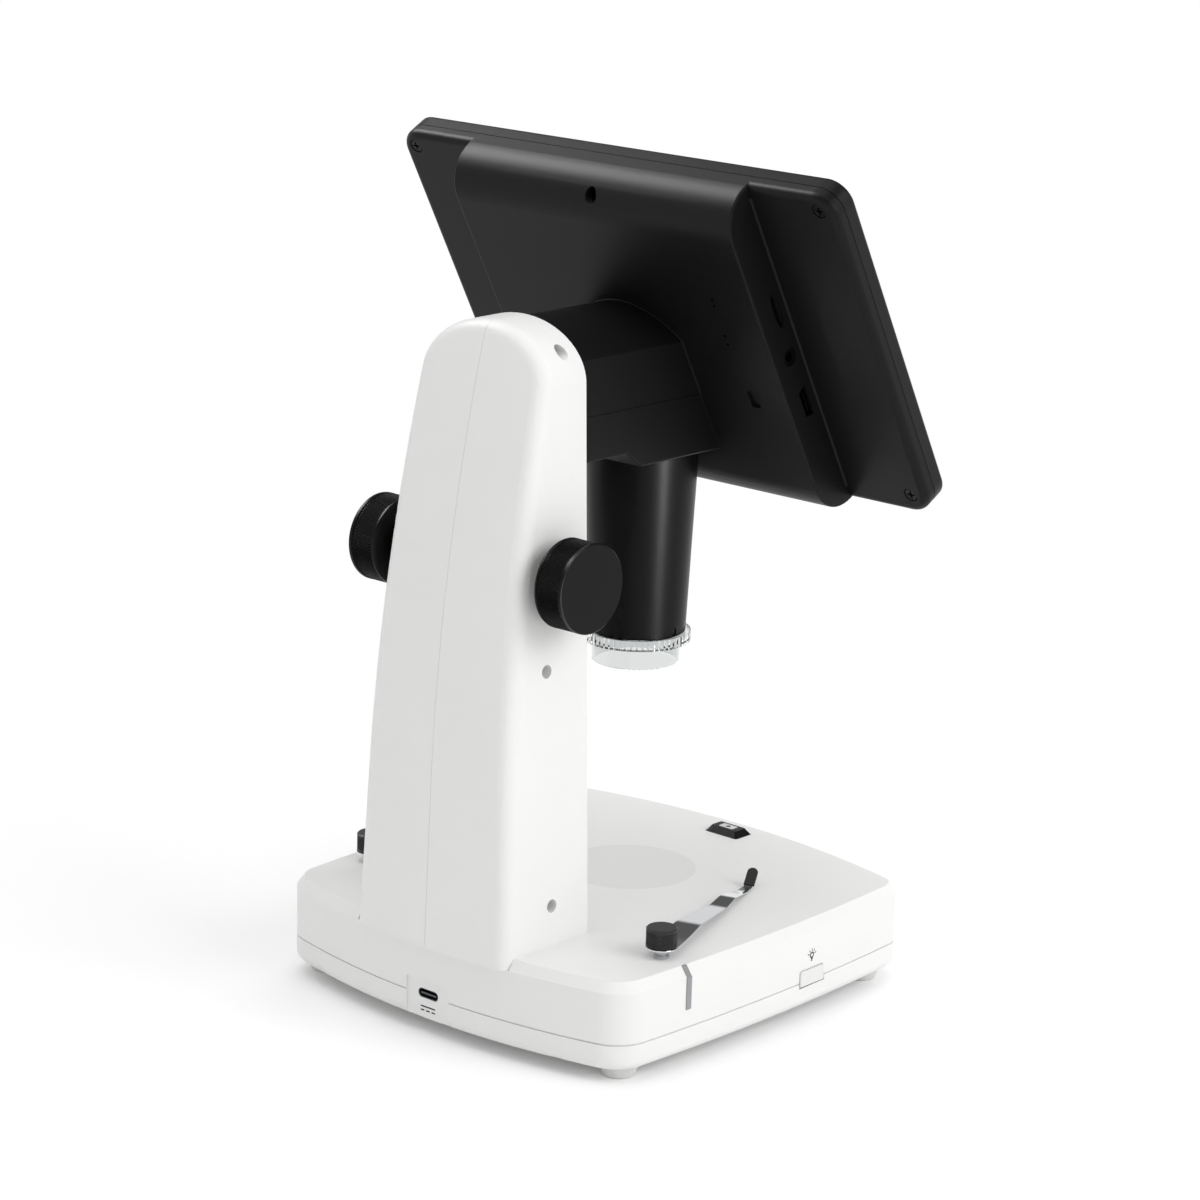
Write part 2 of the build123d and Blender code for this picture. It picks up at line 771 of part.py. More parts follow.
root_radius = pitch_radius - tooth_dedendum
tip_radius = pitch_radius + tooth_addendum
flank_radii = (root_radius - 0.3, base_circle, pitch_radius, tip_radius)
with BuildSketch() as pinion_tooth:
    with BuildLine():
        Polyline(
            *[tooth_point(r, -1) for r in flank_radii],
            *[tooth_point(r, 1) for r in reversed(flank_radii)],
            close=True,
        )
    make_face()
with BuildPart() as pinion:
    with BuildSketch(Plane.YZ.offset(-gear_width / 2)):
        with Locations((shaft_y, shaft_z)):
            Circle(root_radius)
            with PolarLocations(0, pinion_teeth, start_angle=180 / pinion_teeth):
                add(pinion_tooth.sketch)
            Circle(shaft_diameter / 2, mode=Mode.SUBTRACT)
    extrude(amount=gear_width)
write(pinion.part, "pinion")

# Rack: straight teeth, one of them level with the shaft, in a gap of the pinion
rack_low_z = shaft_z - 15.3
rack_high_z = shaft_z + 30.7
rack_back_y = rack_pitch_y - tooth_dedendum
rack_tip_y = rack_pitch_y + tooth_addendum
tooth_pitch = pi * gear_module
flank_slope = tan(radians(pressure_angle))
plate_front_y = inside_front_y + 1.5
plate_back_y = plate_front_y + 3.0
with BuildSketch() as rack_tooth:
    with BuildLine():
        Polyline(
            (-0.3, tooth_thickness / 2 + flank_slope * tooth_dedendum),
            (0, tooth_thickness / 2 + flank_slope * tooth_dedendum),
            (rack_tip_y - rack_back_y, tooth_thickness / 2 - flank_slope * tooth_addendum),
            (rack_tip_y - rack_back_y, flank_slope * tooth_addendum - tooth_thickness / 2),
            (0, -tooth_thickness / 2 - flank_slope * tooth_dedendum),
            (-0.3, -tooth_thickness / 2 - flank_slope * tooth_dedendum),
            close=True,
        )
    make_face()
with BuildPart() as rack:
    with BuildSketch(Plane.YZ.offset(-gear_width / 2)):
        with Locations(((plate_back_y + rack_back_y) / 2, (rack_low_z + rack_high_z) / 2)):
            Rectangle(rack_back_y - plate_back_y, rack_high_z - rack_low_z)
        with Locations(*[(rack_back_y, shaft_z + n * tooth_pitch) for n in range(-4, 10)]):
            add(rack_tooth.sketch)
    extrude(amount=gear_width)
write(rack.part, "rack")

shaft_half_length = knob_face_x - 2.0
with BuildPart() as focus_shaft:
    with BuildSketch(Plane.YZ):
        with Locations((shaft_y, shaft_z)):
            Circle(shaft_diameter / 2)
    extrude(amount=shaft_half_length, both=True)
    chamfer(focus_shaft.edges().filter_by(GeomType.CIRCLE), 0.5)
write(focus_shaft.part, "focus_shaft")

# Focus knobs: a flat-faced rim and a narrower hub towards the column
knob_inner_x = knob_face_x - knob_thickness
knob_hub_x = bush_outer_x + bush_flange + 0.15
knob_bevel = 0.9


def focus_knob(side):
    """One focus knob, revolved about the shaft's axis."""
    with BuildPart(mode=Mode.PRIVATE) as knob:
        with BuildSketch(Plane.XY.offset(shaft_z)):
            with BuildLine():
                Polyline(
                    (knob_hub_x, shaft_y),
                    (knob_hub_x, shaft_y + knob_hub_diameter / 2),
                    (knob_inner_x, shaft_y + knob_hub_diameter / 2),
                    (knob_inner_x, shaft_y + knob_diameter / 2 - knob_bevel),
                    (knob_inner_x + knob_bevel, shaft_y + knob_diameter / 2),
                    (knob_face_x - knob_bevel, shaft_y + knob_diameter / 2),
                    (knob_face_x, shaft_y + knob_diameter / 2 - knob_bevel),
                    (knob_face_x, shaft_y),
                    close=True,
                )
            make_face()
        revolve(axis=Axis((0, shaft_y, shaft_z), (1, 0, 0)))
        with BuildSketch(Plane.YZ.offset(knob_hub_x)):
            with Locations((shaft_y, shaft_z)):
                Circle(shaft_diameter / 2)
        extrude(amount=shaft_half_length - knob_hub_x, mode=Mode.SUBTRACT)
        if side < 0:
            mirror(about=Plane.YZ, mode=Mode.REPLACE)
    return knob.part


write(focus_knob(-1), "focus_knob_left")
write(focus_knob(1), "focus_knob_right")

# ------------------------------------------------------------------ head: carriage
carriage_low_z = shaft_z + 5.7
carriage_height = 36.0
guide_block_width = 10.8
guide_block_depth = 8.6
guide_bush_radius = rod_diameter / 2 + 1.2
neck_front_y = column_front - 22.4
neck_wall = 3.5
neck_z = neck_low_z + neck_height / 2
clamp_y = column_front - 12.4
with BuildPart() as carriage:
    with BuildSketch(Plane.XY.offset(carriage_low_z)):
        with Locations((0, (plate_front_y + plate_back_y) / 2)):
            Rectangle(rod_spread, plate_back_y - plate_front_y)
        for x in (-rod_spread / 2, rod_spread / 2):
            with Locations((x, plate_front_y + guide_block_depth / 2)):
                Rectangle(guide_block_width, guide_block_depth)
    extrude(amount=carriage_height)
    # plate up to the neck, then the neck forward through the column's slot
    with BuildSketch(Plane.XY.offset(carriage_low_z + carriage_height)):
        with Locations((0, (plate_front_y + plate_back_y) / 2)):
            Rectangle(2 * neck_half_width, plate_back_y - plate_front_y)
    extrude(amount=neck_low_z + neck_height - carriage_low_z - carriage_height)
    with BuildSketch(Plane.XZ.offset(-plate_back_y)):
        with Locations((0, neck_z)):
            RectangleRounded(2 * neck_half_width, neck_height, 1.5)
    extrude(amount=plate_back_y - neck_front_y)
    with BuildSketch(Plane.XZ.offset(-plate_back_y)):
        with Locations((0, neck_z)):
            Rectangle(neck_half_width, neck_height - 2 * neck_wall)
    extrude(amount=plate_back_y - neck_front_y, mode=Mode.SUBTRACT)
    with BuildSketch(Plane.XY.offset(carriage_low_z)):
        with Locations((-rod_spread / 2, rod_y), (rod_spread / 2, rod_y)):
            Circle(guide_bush_radius)
    extrude(amount=carriage_height, mode=Mode.SUBTRACT)
    # clearance holes of the clamp screws
    with BuildSketch(Plane.XY.offset(neck_low_z)):
        with Locations((-clamp_x, clamp_y), (clamp_x, clamp_y)):
            Circle(1.6)
    extrude(amount=neck_height, mode=Mode.SUBTRACT)
write(carriage.part, "carriage")

with BuildPart() as carriage_bushes:
    for z in (carriage_low_z, carriage_low_z + carriage_height - 9.0):
        with BuildSketch(Plane.XY.offset(z)):
            with Locations((-rod_spread / 2, rod_y), (rod_spread / 2, rod_y)):
                Circle(guide_bush_radius)
                Circle(rod_diameter / 2 + running_gap, mode=Mode.SUBTRACT)
        extrude(amount=9.0)
write(carriage_bushes.part, "carriage_bushes")

# Shutter: a plate that rides with the neck and closes the slot behind the wall
shutter_low_z = slot_low_z - 14.0
shutter_high_z = slot_high_z - head_travel_up + 1.5
with BuildPart() as shutter:
    with BuildSketch(Plane.XZ.offset(-inside_front_y - 0.3)):
        with Locations((0, (shutter_low_z + shutter_high_z) / 2)):
            Rectangle(2 * shutter_half_width, shutter_high_z - shutter_low_z)
        with Locations((0, neck_z)):
            Rectangle(
                2 * neck_half_width + 0.2, neck_height + 0.2, mode=Mode.SUBTRACT
            )
    extrude(amount=-1.0)
write(shutter.part, "slot_shutter")

# ------------------------------------------------------------------ screen and arm
# The screen has its own planes: screen_plane looks out of its back, with local x
# towards the user's left and local y up the screen; screen_side is its section.
screen_z = deck_z + screen_rise
tilt_sin = sin(radians(screen_tilt))
tilt_cos = cos(radians(screen_tilt))
screen_plane = Plane(
    origin=(0, screen_y, screen_z), x_dir=(-1, 0, 0), z_dir=(0, tilt_cos, -tilt_sin)
)
screen_side = Plane(
    origin=(0, screen_y, screen_z), x_dir=(0, tilt_sin, tilt_cos), z_dir=(-1, 0, 0)
)
bulge_back = wing_depth + bulge_depth
tube_axis = Axis((0, stage_y, 0), (0, 0, 1))
arm_seam_z = deck_z + arm_seam_rise
arm_crease_z = deck_z + arm_crease_rise
arm_low_z = deck_z + arm_low_rise
arm_back_y = column_front - arm_gap
tube_low_z = deck_z + tube_low_rise
tube_gap = 0.3
tube_neck_radius = 18.0
tube_neck_top_z = arm_low_z + 5.2
bulge_edge_round = 0.6
wing_edge_round = 2.5


def bulge_form(inset):
    """Raised back of the screen, drawn in by inset, from the seam plane."""
    half = screen_height / 2
    with BuildPart(mode=Mode.PRIVATE) as bulge:
        with BuildSketch(screen_side):
            with BuildLine():
                low = CenterArc((wing_centre_low, wing_depth), bulge_depth - inset, 90, 90)
                high = CenterArc((-wing_centre_low, wing_depth), bulge_depth - inset, 0, 90)
                Line(low @ 0, high @ 1)
                Polyline(high @ 0, (half - inset, 0), (inset - half, 0), low @ 1)
            make_face()
        extrude(amount=bulge_width / 2 - inset, both=True)
    return bulge.part


wing_centre_low = bulge_depth - screen_height / 2


def arm_form(inset):
    """Arm from inside the screen to the column, drawn in by inset."""
    half = arm_width / 2 - inset
    low_z = arm_low_z + inset
    start_y = screen_y - 10
    with BuildPart(mode=Mode.PRIVATE) as arm:
        with BuildSketch(Plane.XZ.offset(-start_y)):
            with BuildLine():
                crown = ThreePointArc(
                    (-half, arm_crease_z - inset / 2),
                    (0, arm_crease_z + arm_crown - inset),
                    (half, arm_crease_z - inset / 2),
                )
                Polyline(crown @ 1, (half, low_z), (-half, low_z), crown @ 0)
            make_face()
        extrude(amount=start_y - arm_back_y + inset)
        with BuildSketch(Plane.YZ):
            with BuildLine():
                Polyline(
                    (arm_step_start, low_z - 1),
                    (arm_step_start, low_z),
                    (arm_step_start + arm_step_length, low_z + arm_step),
                    (arm_back_y + 1, low_z + arm_step),
                    (arm_back_y + 1, low_z - 1),
                    close=True,
                )
            make_face()
        extrude(amount=arm_width, both=True, mode=Mode.SUBTRACT)
    return arm.part


def behind_screen(depth):
    """All the space behind a plane parallel to the screen's seam."""
    with BuildPart(mode=Mode.PRIVATE) as space:
        with BuildSketch(screen_plane.offset(depth)):
            Rectangle(2 * screen_width, 3 * screen_height)
        extrude(amount=2 * screen_height)
    return space.part


def below_arm_seam(height):
    """All the space under a level plane."""
    with BuildPart(mode=Mode.PRIVATE) as space:
        with BuildSketch(Plane.XY.offset(height)):
            Rectangle(2 * screen_width, 3 * screen_width)
        extrude(amount=-screen_height)
    return space.part


def tube_space(gap):
    """The camera tube's outer form, grown by gap."""
    low = tube_low_diameter / 2 + gap
    high = tube_high_diameter / 2 + gap
    neck = tube_neck_radius + gap
    with BuildPart(mode=Mode.PRIVATE) as space:
        with BuildSketch(Plane.XZ.offset(-stage_y)):
            with BuildLine():
                Polyline(
                    (0, tube_low_z),
                    (low, tube_low_z),
                    (high, arm_low_z),
                    (high, arm_low_z + gap),
                    (neck, arm_low_z + gap),
                    (neck, tube_neck_top_z + gap),
                    (0, tube_neck_top_z + gap),
                    close=True,
                )
            make_face()
        revolve(axis=tube_axis)
    return space.part


# Back of the screen and the whole arm as one moulding, cut at the parting line
with BuildPart() as moulding:
    with BuildSketch(screen_plane):
        RectangleRounded(screen_width, screen_height, screen_corner)
    extrude(amount=wing_depth)
    rim = moulding.faces().sort_by(Axis(screen_plane.origin, screen_plane.z_dir))[-1]
    fillet(rim.edges(), wing_edge_round)
    with BuildPart(mode=Mode.PRIVATE) as bulge:
        add(bulge_form(0))
        side_edges = bulge.edges().filter_by(
            lambda e: abs(abs(e.center().X) - bulge_width / 2) < 0.01
            and screen_plane.to_local_coords(e.center()).Z > wing_depth + 1
        )
        fillet(side_edges, bulge_edge_round)
    add(bulge.part)
    with BuildPart(mode=Mode.PRIVATE) as arm:
        add(arm_form(0))
        low_edges = arm.edges().filter_by(
            lambda e: abs(abs(e.center().X) - arm_width / 2) < 0.01
            and e.center().Z < arm_low_z + arm_step + 1
            and e.bounding_box().size.Y > 1
        )
        fillet(low_edges, arm_low_round)
        back_edges = arm.faces().sort_by(Axis.Y)[-1].edges()
        fillet(back_edges, arm_back_round)
        add(behind_screen(bulge_back - 1), mode=Mode.INTERSECT)
    add(arm.part)
    root = moulding.edges().filter_by(
        lambda e: abs(screen_plane.to_local_coords(e.center()).Z - bulge_back) < 0.01
        and abs(e.center().X) < arm_width / 2 + 0.1
        and e.center().Z > arm_low_z + 1
        and e.length < bulge_width / 2
    )
    fillet(root, arm_blend)

# Lower cover of the arm: everything under the parting line
cover_gap = 0.15
tube_collar = 1.6
clamp_boss = 3.2
neck_hole_gap = 0.1


def neck_space():
    """The neck's form with its clearance, through the arm's rear wall."""
    with BuildPart(mode=Mode.PRIVATE) as space:
        with BuildSketch(Plane.XZ.offset(-arm_back_y - 1)):
            with Locations((0, neck_z)):
                RectangleRounded(
                    2 * (neck_half_width + neck_hole_gap),
                    neck_height + 2 * neck_hole_gap,
                    1.5,
                )
        extrude(amount=arm_wall + 2)
    return space.part


with BuildPart() as arm_cover:
    add(moulding.part)
    add(below_arm_seam(arm_seam_z - cover_gap), mode=Mode.INTERSECT)
    add(behind_screen(bulge_back + cover_gap), mode=Mode.INTERSECT)
    add(arm_form(arm_wall), mode=Mode.SUBTRACT)
    # bosses under the neck, for the clamp screws
    with BuildSketch(Plane.XY.offset(arm_low_z + arm_step)):
        with Locations((-clamp_x, clamp_y), (clamp_x, clamp_y)):
            Circle(clamp_boss)
    extrude(amount=neck_low_z - arm_low_z - arm_step)
    with BuildSketch(Plane.XY.offset(arm_low_z + arm_step)):
        with Locations((-clamp_x, clamp_y), (clamp_x, clamp_y)):
            Circle(1.6)
    extrude(amount=neck_height, mode=Mode.SUBTRACT)
    with BuildSketch(Plane.XY.offset(arm_low_z + arm_step)):
        with Locations((-clamp_x, clamp_y), (clamp_x, clamp_y)):
            Circle(screw_head_diameter / 2 + 0.1)
    extrude(amount=1.2, mode=Mode.SUBTRACT)
    add(neck_space(), mode=Mode.SUBTRACT)
    add(tube_space(running_gap), mode=Mode.SUBTRACT)
write(arm_cover.part, "arm_lower_cover")

# Sockets of the side wall: distance up the screen and height over the seam plane
card_slot = (17.65, 9.3)
card_slot_length = 12.4
card_slot_height = 1.6
finger_room = 1.9          # half width of the hollow round the card slot
jack = (0.05, 10.4)
jack_diameter = 5.4
hdmi = (-18.35, 10.1)
hdmi_length = 11.2
hdmi_height = 3.3
main_board_depth = 6.0
main_board_size = (bulge_width - 14.3, 72.0)
corner_screw_inset = 6.2
top_screw_inset = 5.6
bottom_screw_inset = 7.5
corner_screw_sites = [
    (x * (screen_width / 2 - corner_screw_inset), y)
    for x in (-1, 1)
    for y in (screen_height / 2 - top_screw_inset, bottom_screw_inset - screen_height / 2)
]
corner_head = 5.0
corner_boss = 3.4
strap_recess = (-45.2, -13.95)
strap_recess_size = (3.8, 6.4)
vent = (1.0, 57.25)
vent_diameter = 4.6
dimple_sites = [(42.0, y) for y in (25.4, 22.9, 11.0, 7.7)]
dimple_diameter = 1.2
side_wall = Plane(
    origin=screen_plane.from_local_coords((bulge_width / 2, 0, 0)),
    x_dir=(0, tilt_sin, tilt_cos),
    z_dir=(-1, 0, 0),
)

with BuildPart() as rear_shell:
    add(moulding.part)
    with BuildSketch(screen_plane):
        RectangleRounded(
            screen_width - 2 * screen_wall,
            screen_height - 2 * screen_wall,
            screen_corner - screen_wall,
        )
    extrude(amount=wing_depth - screen_wall, mode=Mode.SUBTRACT)
    add(bulge_form(screen_wall), mode=Mode.SUBTRACT)
    # hollow of the arm, opening into the screen
    with BuildPart(mode=Mode.PRIVATE) as hollow:
        add(arm_form(arm_wall))
        add(behind_screen(bulge_back - screen_wall - 1), mode=Mode.INTERSECT)
    add(hollow.part, mode=Mode.SUBTRACT)
    # bosses that take the clamp screws, down to the neck
    with BuildSketch(Plane.XY.offset(neck_low_z + neck_height)):
        with Locations((-clamp_x, clamp_y), (clamp_x, clamp_y)):
            Circle(clamp_boss)
    extrude(amount=arm_crease_z + 5 - neck_low_z - neck_height)
    with BuildSketch(Plane.XY.offset(neck_low_z + neck_height)):
        with Locations((-clamp_x, clamp_y), (clamp_x, clamp_y)):
            Circle(1.3)
    extrude(amount=11.0, mode=Mode.SUBTRACT)
    # collar round the camera tube, where it dips into the screen's back
    with BuildPart(mode=Mode.PRIVATE) as collar:
        add(tube_space(tube_gap + tube_collar))
        add(behind_screen(wing_depth), mode=Mode.INTERSECT)
        add(bulge_form(0), mode=Mode.INTERSECT)
        add(below_arm_seam(arm_low_z), mode=Mode.INTERSECT)
    add(collar.part)
    # screw bosses of the wings
    with BuildSketch(screen_plane):
        with Locations(*corner_screw_sites):
            Circle(corner_boss)
    extrude(amount=wing_depth - 0.5)
    # lower half of the arm belongs to the cover
    with BuildPart(mode=Mode.PRIVATE) as cover_space:
        add(below_arm_seam(arm_seam_z))
        add(behind_screen(bulge_back), mode=Mode.INTERSECT)
    add(cover_space.part, mode=Mode.SUBTRACT)
    add(tube_space(tube_gap), mode=Mode.SUBTRACT)
    add(neck_space(), mode=Mode.SUBTRACT)
    # sockets: through the left side wall, with shallow finger room at the card slot
    with BuildSketch(side_wall.offset(1)):
        with Locations(card_slot):
            RectangleRounded(card_slot_length, card_slot_height, 0.5)
        with Locations(jack):
            Circle(jack_diameter / 2 + 0.3)
        with Locations(hdmi):
            Trapezoid(hdmi_length + 0.6, hdmi_height + 0.6, 70)
    extrude(amount=-screen_wall - 2, mode=Mode.SUBTRACT)
    with BuildSketch(side_wall):
        with Locations(card_slot):
            Ellipse(card_slot_length / 2 + 0.4, finger_room)
    extrude(amount=-0.7, mode=Mode.SUBTRACT)
    # corner screws, vent, dimples and strap recess in the back
    with BuildSketch(screen_plane.offset(wing_depth)):
        with Locations(*corner_screw_sites):
            Circle(corner_head / 2)
    extrude(amount=-1.4, mode=Mode.SUBTRACT)
    with BuildSketch(screen_plane):
        with Locations(*corner_screw_sites):
            Circle(1.35)
    extrude(amount=wing_depth, mode=Mode.SUBTRACT)
    with BuildSketch(screen_plane.offset(wing_depth + 2)):
        with Locations(vent):
            Circle(vent_diameter / 2)
    extrude(amount=bulge_depth, mode=Mode.SUBTRACT)
    with BuildSketch(screen_plane.offset(bulge_back)):
        with Locations(*dimple_sites):
            Circle(dimple_diameter / 2)
    extrude(amount=-0.8, mode=Mode.SUBTRACT)
    with BuildSketch(screen_plane.offset(bulge_back)):
        with Locations((-strap_recess[0], strap_recess[1])):
            RectangleRounded(*strap_recess_size, 0.6)
    extrude(amount=-1.2, mode=Mode.SUBTRACT)
write(rear_shell.part, "screen_rear_shell")

# Bezel: a shallow tray in front of the seam, with a ledge for the window
window_width = display_width + 8.0
window_height = display_height + 8.0
window_recess = 1.2
bezel_wall = 1.9
bezel_edge_round = 1.5
key_row_v = -key_drop
key_sites = [
    ((n - (key_count - 1) / 2) * key_pitch, key_row_v) for n in range(key_count)
]
with BuildPart() as bezel:
    with BuildSketch(screen_plane):
        RectangleRounded(screen_width, screen_height, screen_corner)
    extrude(amount=-bezel_depth)
    face = bezel.faces().sort_by(Axis(screen_plane.origin, screen_plane.z_dir))[0]
    fillet(face.edges(), bezel_edge_round)
    # thin shadow line at the seam
    with BuildSketch(screen_plane.offset(-seam_height / 2)):
        RectangleRounded(screen_width, screen_height, screen_corner)
        RectangleRounded(
            screen_width - seam_depth,
            screen_height - seam_depth,
            screen_corner - seam_depth / 2,
            mode=Mode.SUBTRACT,
        )
    extrude(amount=seam_height / 2, mode=Mode.SUBTRACT)
    with BuildSketch(screen_plane.offset(bezel_wall - bezel_depth)):
        RectangleRounded(
            screen_width - 2 * bezel_wall,
            screen_height - 2 * bezel_wall,
            screen_corner - bezel_wall,
        )
    extrude(amount=bezel_depth, mode=Mode.SUBTRACT)
    with BuildSketch(screen_plane.offset(bezel_wall - bezel_depth)):
        with Locations(*corner_screw_sites):
            Circle(corner_boss)
    extrude(amount=bezel_depth - bezel_wall)
    with BuildSketch(screen_plane.offset(-bezel_depth)):
        with Locations((0, display_lift)):
            RectangleRounded(window_width, window_height, 1.5)
    extrude(amount=window_recess, mode=Mode.SUBTRACT)
    with BuildSketch(screen_plane.offset(-bezel_depth)):
        with Locations((0, display_lift)):
            Rectangle(display_width + 2, display_height + 2)
        with Locations(*key_sites):
            Circle(key_diameter / 2 + button_gap)
    extrude(amount=bezel_depth, mode=Mode.SUBTRACT)
    with BuildSketch(screen_plane):
        with Locations(*corner_screw_sites):
            Circle(1.0)
    extrude(amount=-3.5, mode=Mode.SUBTRACT)
write(bezel.part, "screen_bezel")

with BuildPart() as screen_window:
    with BuildSketch(screen_plane.offset(-bezel_depth)):
        with Locations((0, display_lift)):
            RectangleRounded(window_width - 0.2, window_height - 0.2, 1.4)
    extrude(amount=window_recess - 0.1)
write(screen_window.part, "screen_window")

panel_width = display_width + 10.0
panel_height = display_height + 12.4
panel_low = bezel_wall + 0.1 - bezel_depth
with BuildPart() as display_panel:
    with BuildSketch(screen_plane.offset(panel_low)):
        with Locations((0, display_lift)):
            Rectangle(panel_width, panel_height)
    extrude(amount=3.2)
    with BuildSketch(screen_plane.offset(panel_low)):
        with Locations((0, display_lift)):
            Rectangle(display_width, display_height)
    extrude(amount=window_recess - bezel_wall + 0.1)
write(display_panel.part, "display_panel")

# Keys under the display: a cap, a flange behind the bezel
key_travel = 0.5
key_flange_depth = 0.7


def key(site):
    """One round key at its place in the row."""
    with BuildPart(mode=Mode.PRIVATE) as cap:
        with BuildSketch(screen_plane.offset(-bezel_depth - key_proud)):
            with Locations(site):
                Circle(key_diameter / 2)
        extrude(amount=key_proud + bezel_wall)
        fillet(cap.edges().group_by(Axis(screen_plane.origin, screen_plane.z_dir))[0], 0.3)
        with BuildSketch(screen_plane.offset(bezel_wall - bezel_depth)):
            with Locations(site):
                Circle(key_diameter / 2 + 0.8)
        extrude(amount=key_flange_depth)
    return cap.part


for number, site in enumerate(key_sites, start=1):
    write(key(site), f"key_{number}")

# Key board behind the keys, main board with the sockets behind the panel
key_board_depth = bezel_wall + key_flange_depth + key_travel + 0.5 - bezel_depth
with BuildPart() as key_board:
    with BuildSketch(screen_plane.offset(key_board_depth + 0.6)):
        with Locations((0, key_row_v + 0.7)):
            Rectangle(key_count * key_pitch, 8.4)
    extrude(amount=1.0)
    with BuildSketch(screen_plane.offset(key_board_depth + 0.6)):
        with Locations(*key_sites):
            Circle(2.2)
    extrude(amount=-0.5)
write(key_board.part, "key_board")

main_board_back = main_board_depth + board_thickness
with BuildPart() as main_board:
    with BuildSketch(screen_plane.offset(main_board_depth)):
        with Locations(((bulge_width - main_board_size[0]) / 2 - 3.5, 2)):
            Rectangle(*main_board_size)
    extrude(amount=board_thickness)
    with BuildSketch(screen_plane.offset(main_board_back)):
        with Locations((22, 22)):
            Rectangle(15, 15)
        with Locations((2, 26), (2, 12)):
            Rectangle(9, 12)
        with Locations((30, -14), (30, -24)):
            Circle(2.6)
    extrude(amount=1.4)
write(main_board.part, "main_board")

with BuildPart() as card_socket:
    with BuildSketch(side_wall.offset(-screen_wall - 0.1)):
        with Locations((card_slot[0], main_board_back + 1.0)):
            Rectangle(14.6, 2.0)
    extrude(amount=-14.0)
    with BuildSketch(side_wall.offset(-screen_wall - 0.1)):
        with Locations((card_slot[0], main_board_back + 1.1)):
            Rectangle(11.4, 1.0)
    extrude(amount=-12.0, mode=Mode.SUBTRACT)
write(card_socket.part, "card_socket")

with BuildPart() as av_jack:
    with BuildSketch(side_wall.offset(-screen_wall - 0.1)):
        with Locations((jack[0], main_board_back + 2.8)):
            Rectangle(7.0, 5.6)
    extrude(amount=-11.0)
    with BuildSketch(side_wall.offset(-screen_wall - 0.1)):
        with Locations(jack):
            Circle(jack_diameter / 2)
    extrude(amount=screen_wall - 0.3)
    with BuildSketch(side_wall):
        with Locations(jack):
            Circle(1.8)
    extrude(amount=-12.0, mode=Mode.SUBTRACT)
write(av_jack.part, "av_jack")

with BuildPart() as hdmi_socket:
    with BuildSketch(side_wall.offset(-0.4)):
        with Locations(hdmi):
            Trapezoid(hdmi_length, hdmi_height, 70)
    extrude(amount=-8.0)
    with BuildSketch(side_wall.offset(-0.4)):
        with Locations(hdmi):
            Trapezoid(hdmi_length - 0.8, hdmi_height - 0.8, 70)
            Rectangle(hdmi_length * 0.66, 0.7, mode=Mode.SUBTRACT)
    extrude(amount=-6.8, mode=Mode.SUBTRACT)
write(hdmi_socket.part, "hdmi_socket")

with BuildPart() as corner_screws:
    with BuildSketch(screen_plane.offset(wing_depth - 1.4)):
        with Locations(*corner_screw_sites):
            Circle(corner_head / 2 - 0.1)
    extrude(amount=1.2)
    with BuildSketch(screen_plane.offset(wing_depth - 1.4)):
        with Locations(*corner_screw_sites):
            Circle(0.95)
    extrude(amount=-wing_depth - 1.6)
write(corner_screws.part, "screen_corner_screws")

clamp_head_z = arm_low_z + arm_step + 1.2
with BuildPart() as arm_screws:
    with BuildSketch(Plane.XY.offset(clamp_head_z)):
        with Locations((-clamp_x, clamp_y), (clamp_x, clamp_y)):
            Circle(screw_head_diameter / 2)
    extrude(amount=-1.0)
    with BuildSketch(Plane.XY.offset(clamp_head_z)):
        with Locations((-clamp_x, clamp_y), (clamp_x, clamp_y)):
            Circle(1.25)
    extrude(amount=neck_low_z + neck_height + 9.0 - clamp_head_z)
write(arm_screws.part, "arm_screws")

# ------------------------------------------------------------------ camera
bore_radius = tube_neck_radius - 1.6
wheel_low_z = deck_z + wheel_low_rise
wheel_radius = bore_radius - 0.2
barrel_radius = 12.5
shelf_radius = barrel_radius + running_gap
shelf_thickness = 2.2
spigot_radius = tube_low_diameter / 2 - tube_wall - 0.1
ring_board_z = tube_low_z + 3.8
retainer_z = wheel_low_z + wheel_height

with BuildPart() as camera_tube:
    with BuildSketch(Plane.XZ.offset(-stage_y)):
        with BuildLine():
            Polyline(
                (spigot_radius + 0.1, tube_low_z),
                (tube_low_diameter / 2, tube_low_z),
                (tube_high_diameter / 2, arm_low_z),
                (tube_neck_radius, arm_low_z),
                (tube_neck_radius, tube_neck_top_z),
                (bore_radius, tube_neck_top_z),
                (bore_radius, wheel_low_z - wheel_gap),
                (shelf_radius, wheel_low_z - wheel_gap),
                (shelf_radius, wheel_low_z - wheel_gap - shelf_thickness),
                (spigot_radius + 0.1, wheel_low_z - wheel_gap - shelf_thickness),
                close=True,
            )
        make_face()
    revolve(axis=tube_axis)
    # window at the front for the wheel
    with BuildPart(mode=Mode.PRIVATE) as wheel_window:
        with BuildSketch(Plane.XY.offset(wheel_low_z - wheel_gap)):
            with BuildLine():
                reach = tube_high_diameter
                half = radians(window_angle / 2)
                Polyline(
                    (0, stage_y),
                    (reach * sin(half), stage_y - reach * cos(half)),
                    (0, stage_y - 2 * reach),
                    (-reach * sin(half), stage_y - reach * cos(half)),
                    close=True,
                )
            make_face()
            with Locations(stage_centre):
                Circle(bore_radius - 1, mode=Mode.SUBTRACT)
        extrude(amount=wheel_height + 2 * wheel_gap)
    add(wheel_window.part, mode=Mode.SUBTRACT)
    # thread of the set screw
    with BuildSketch(Plane.YZ.offset(-tube_low_diameter)):
        with Locations((stage_y, tube_low_z + 1.8)):
            Circle(1.25)
    extrude(amount=tube_low_diameter, mode=Mode.SUBTRACT)
write(camera_tube.part, "camera_tube")

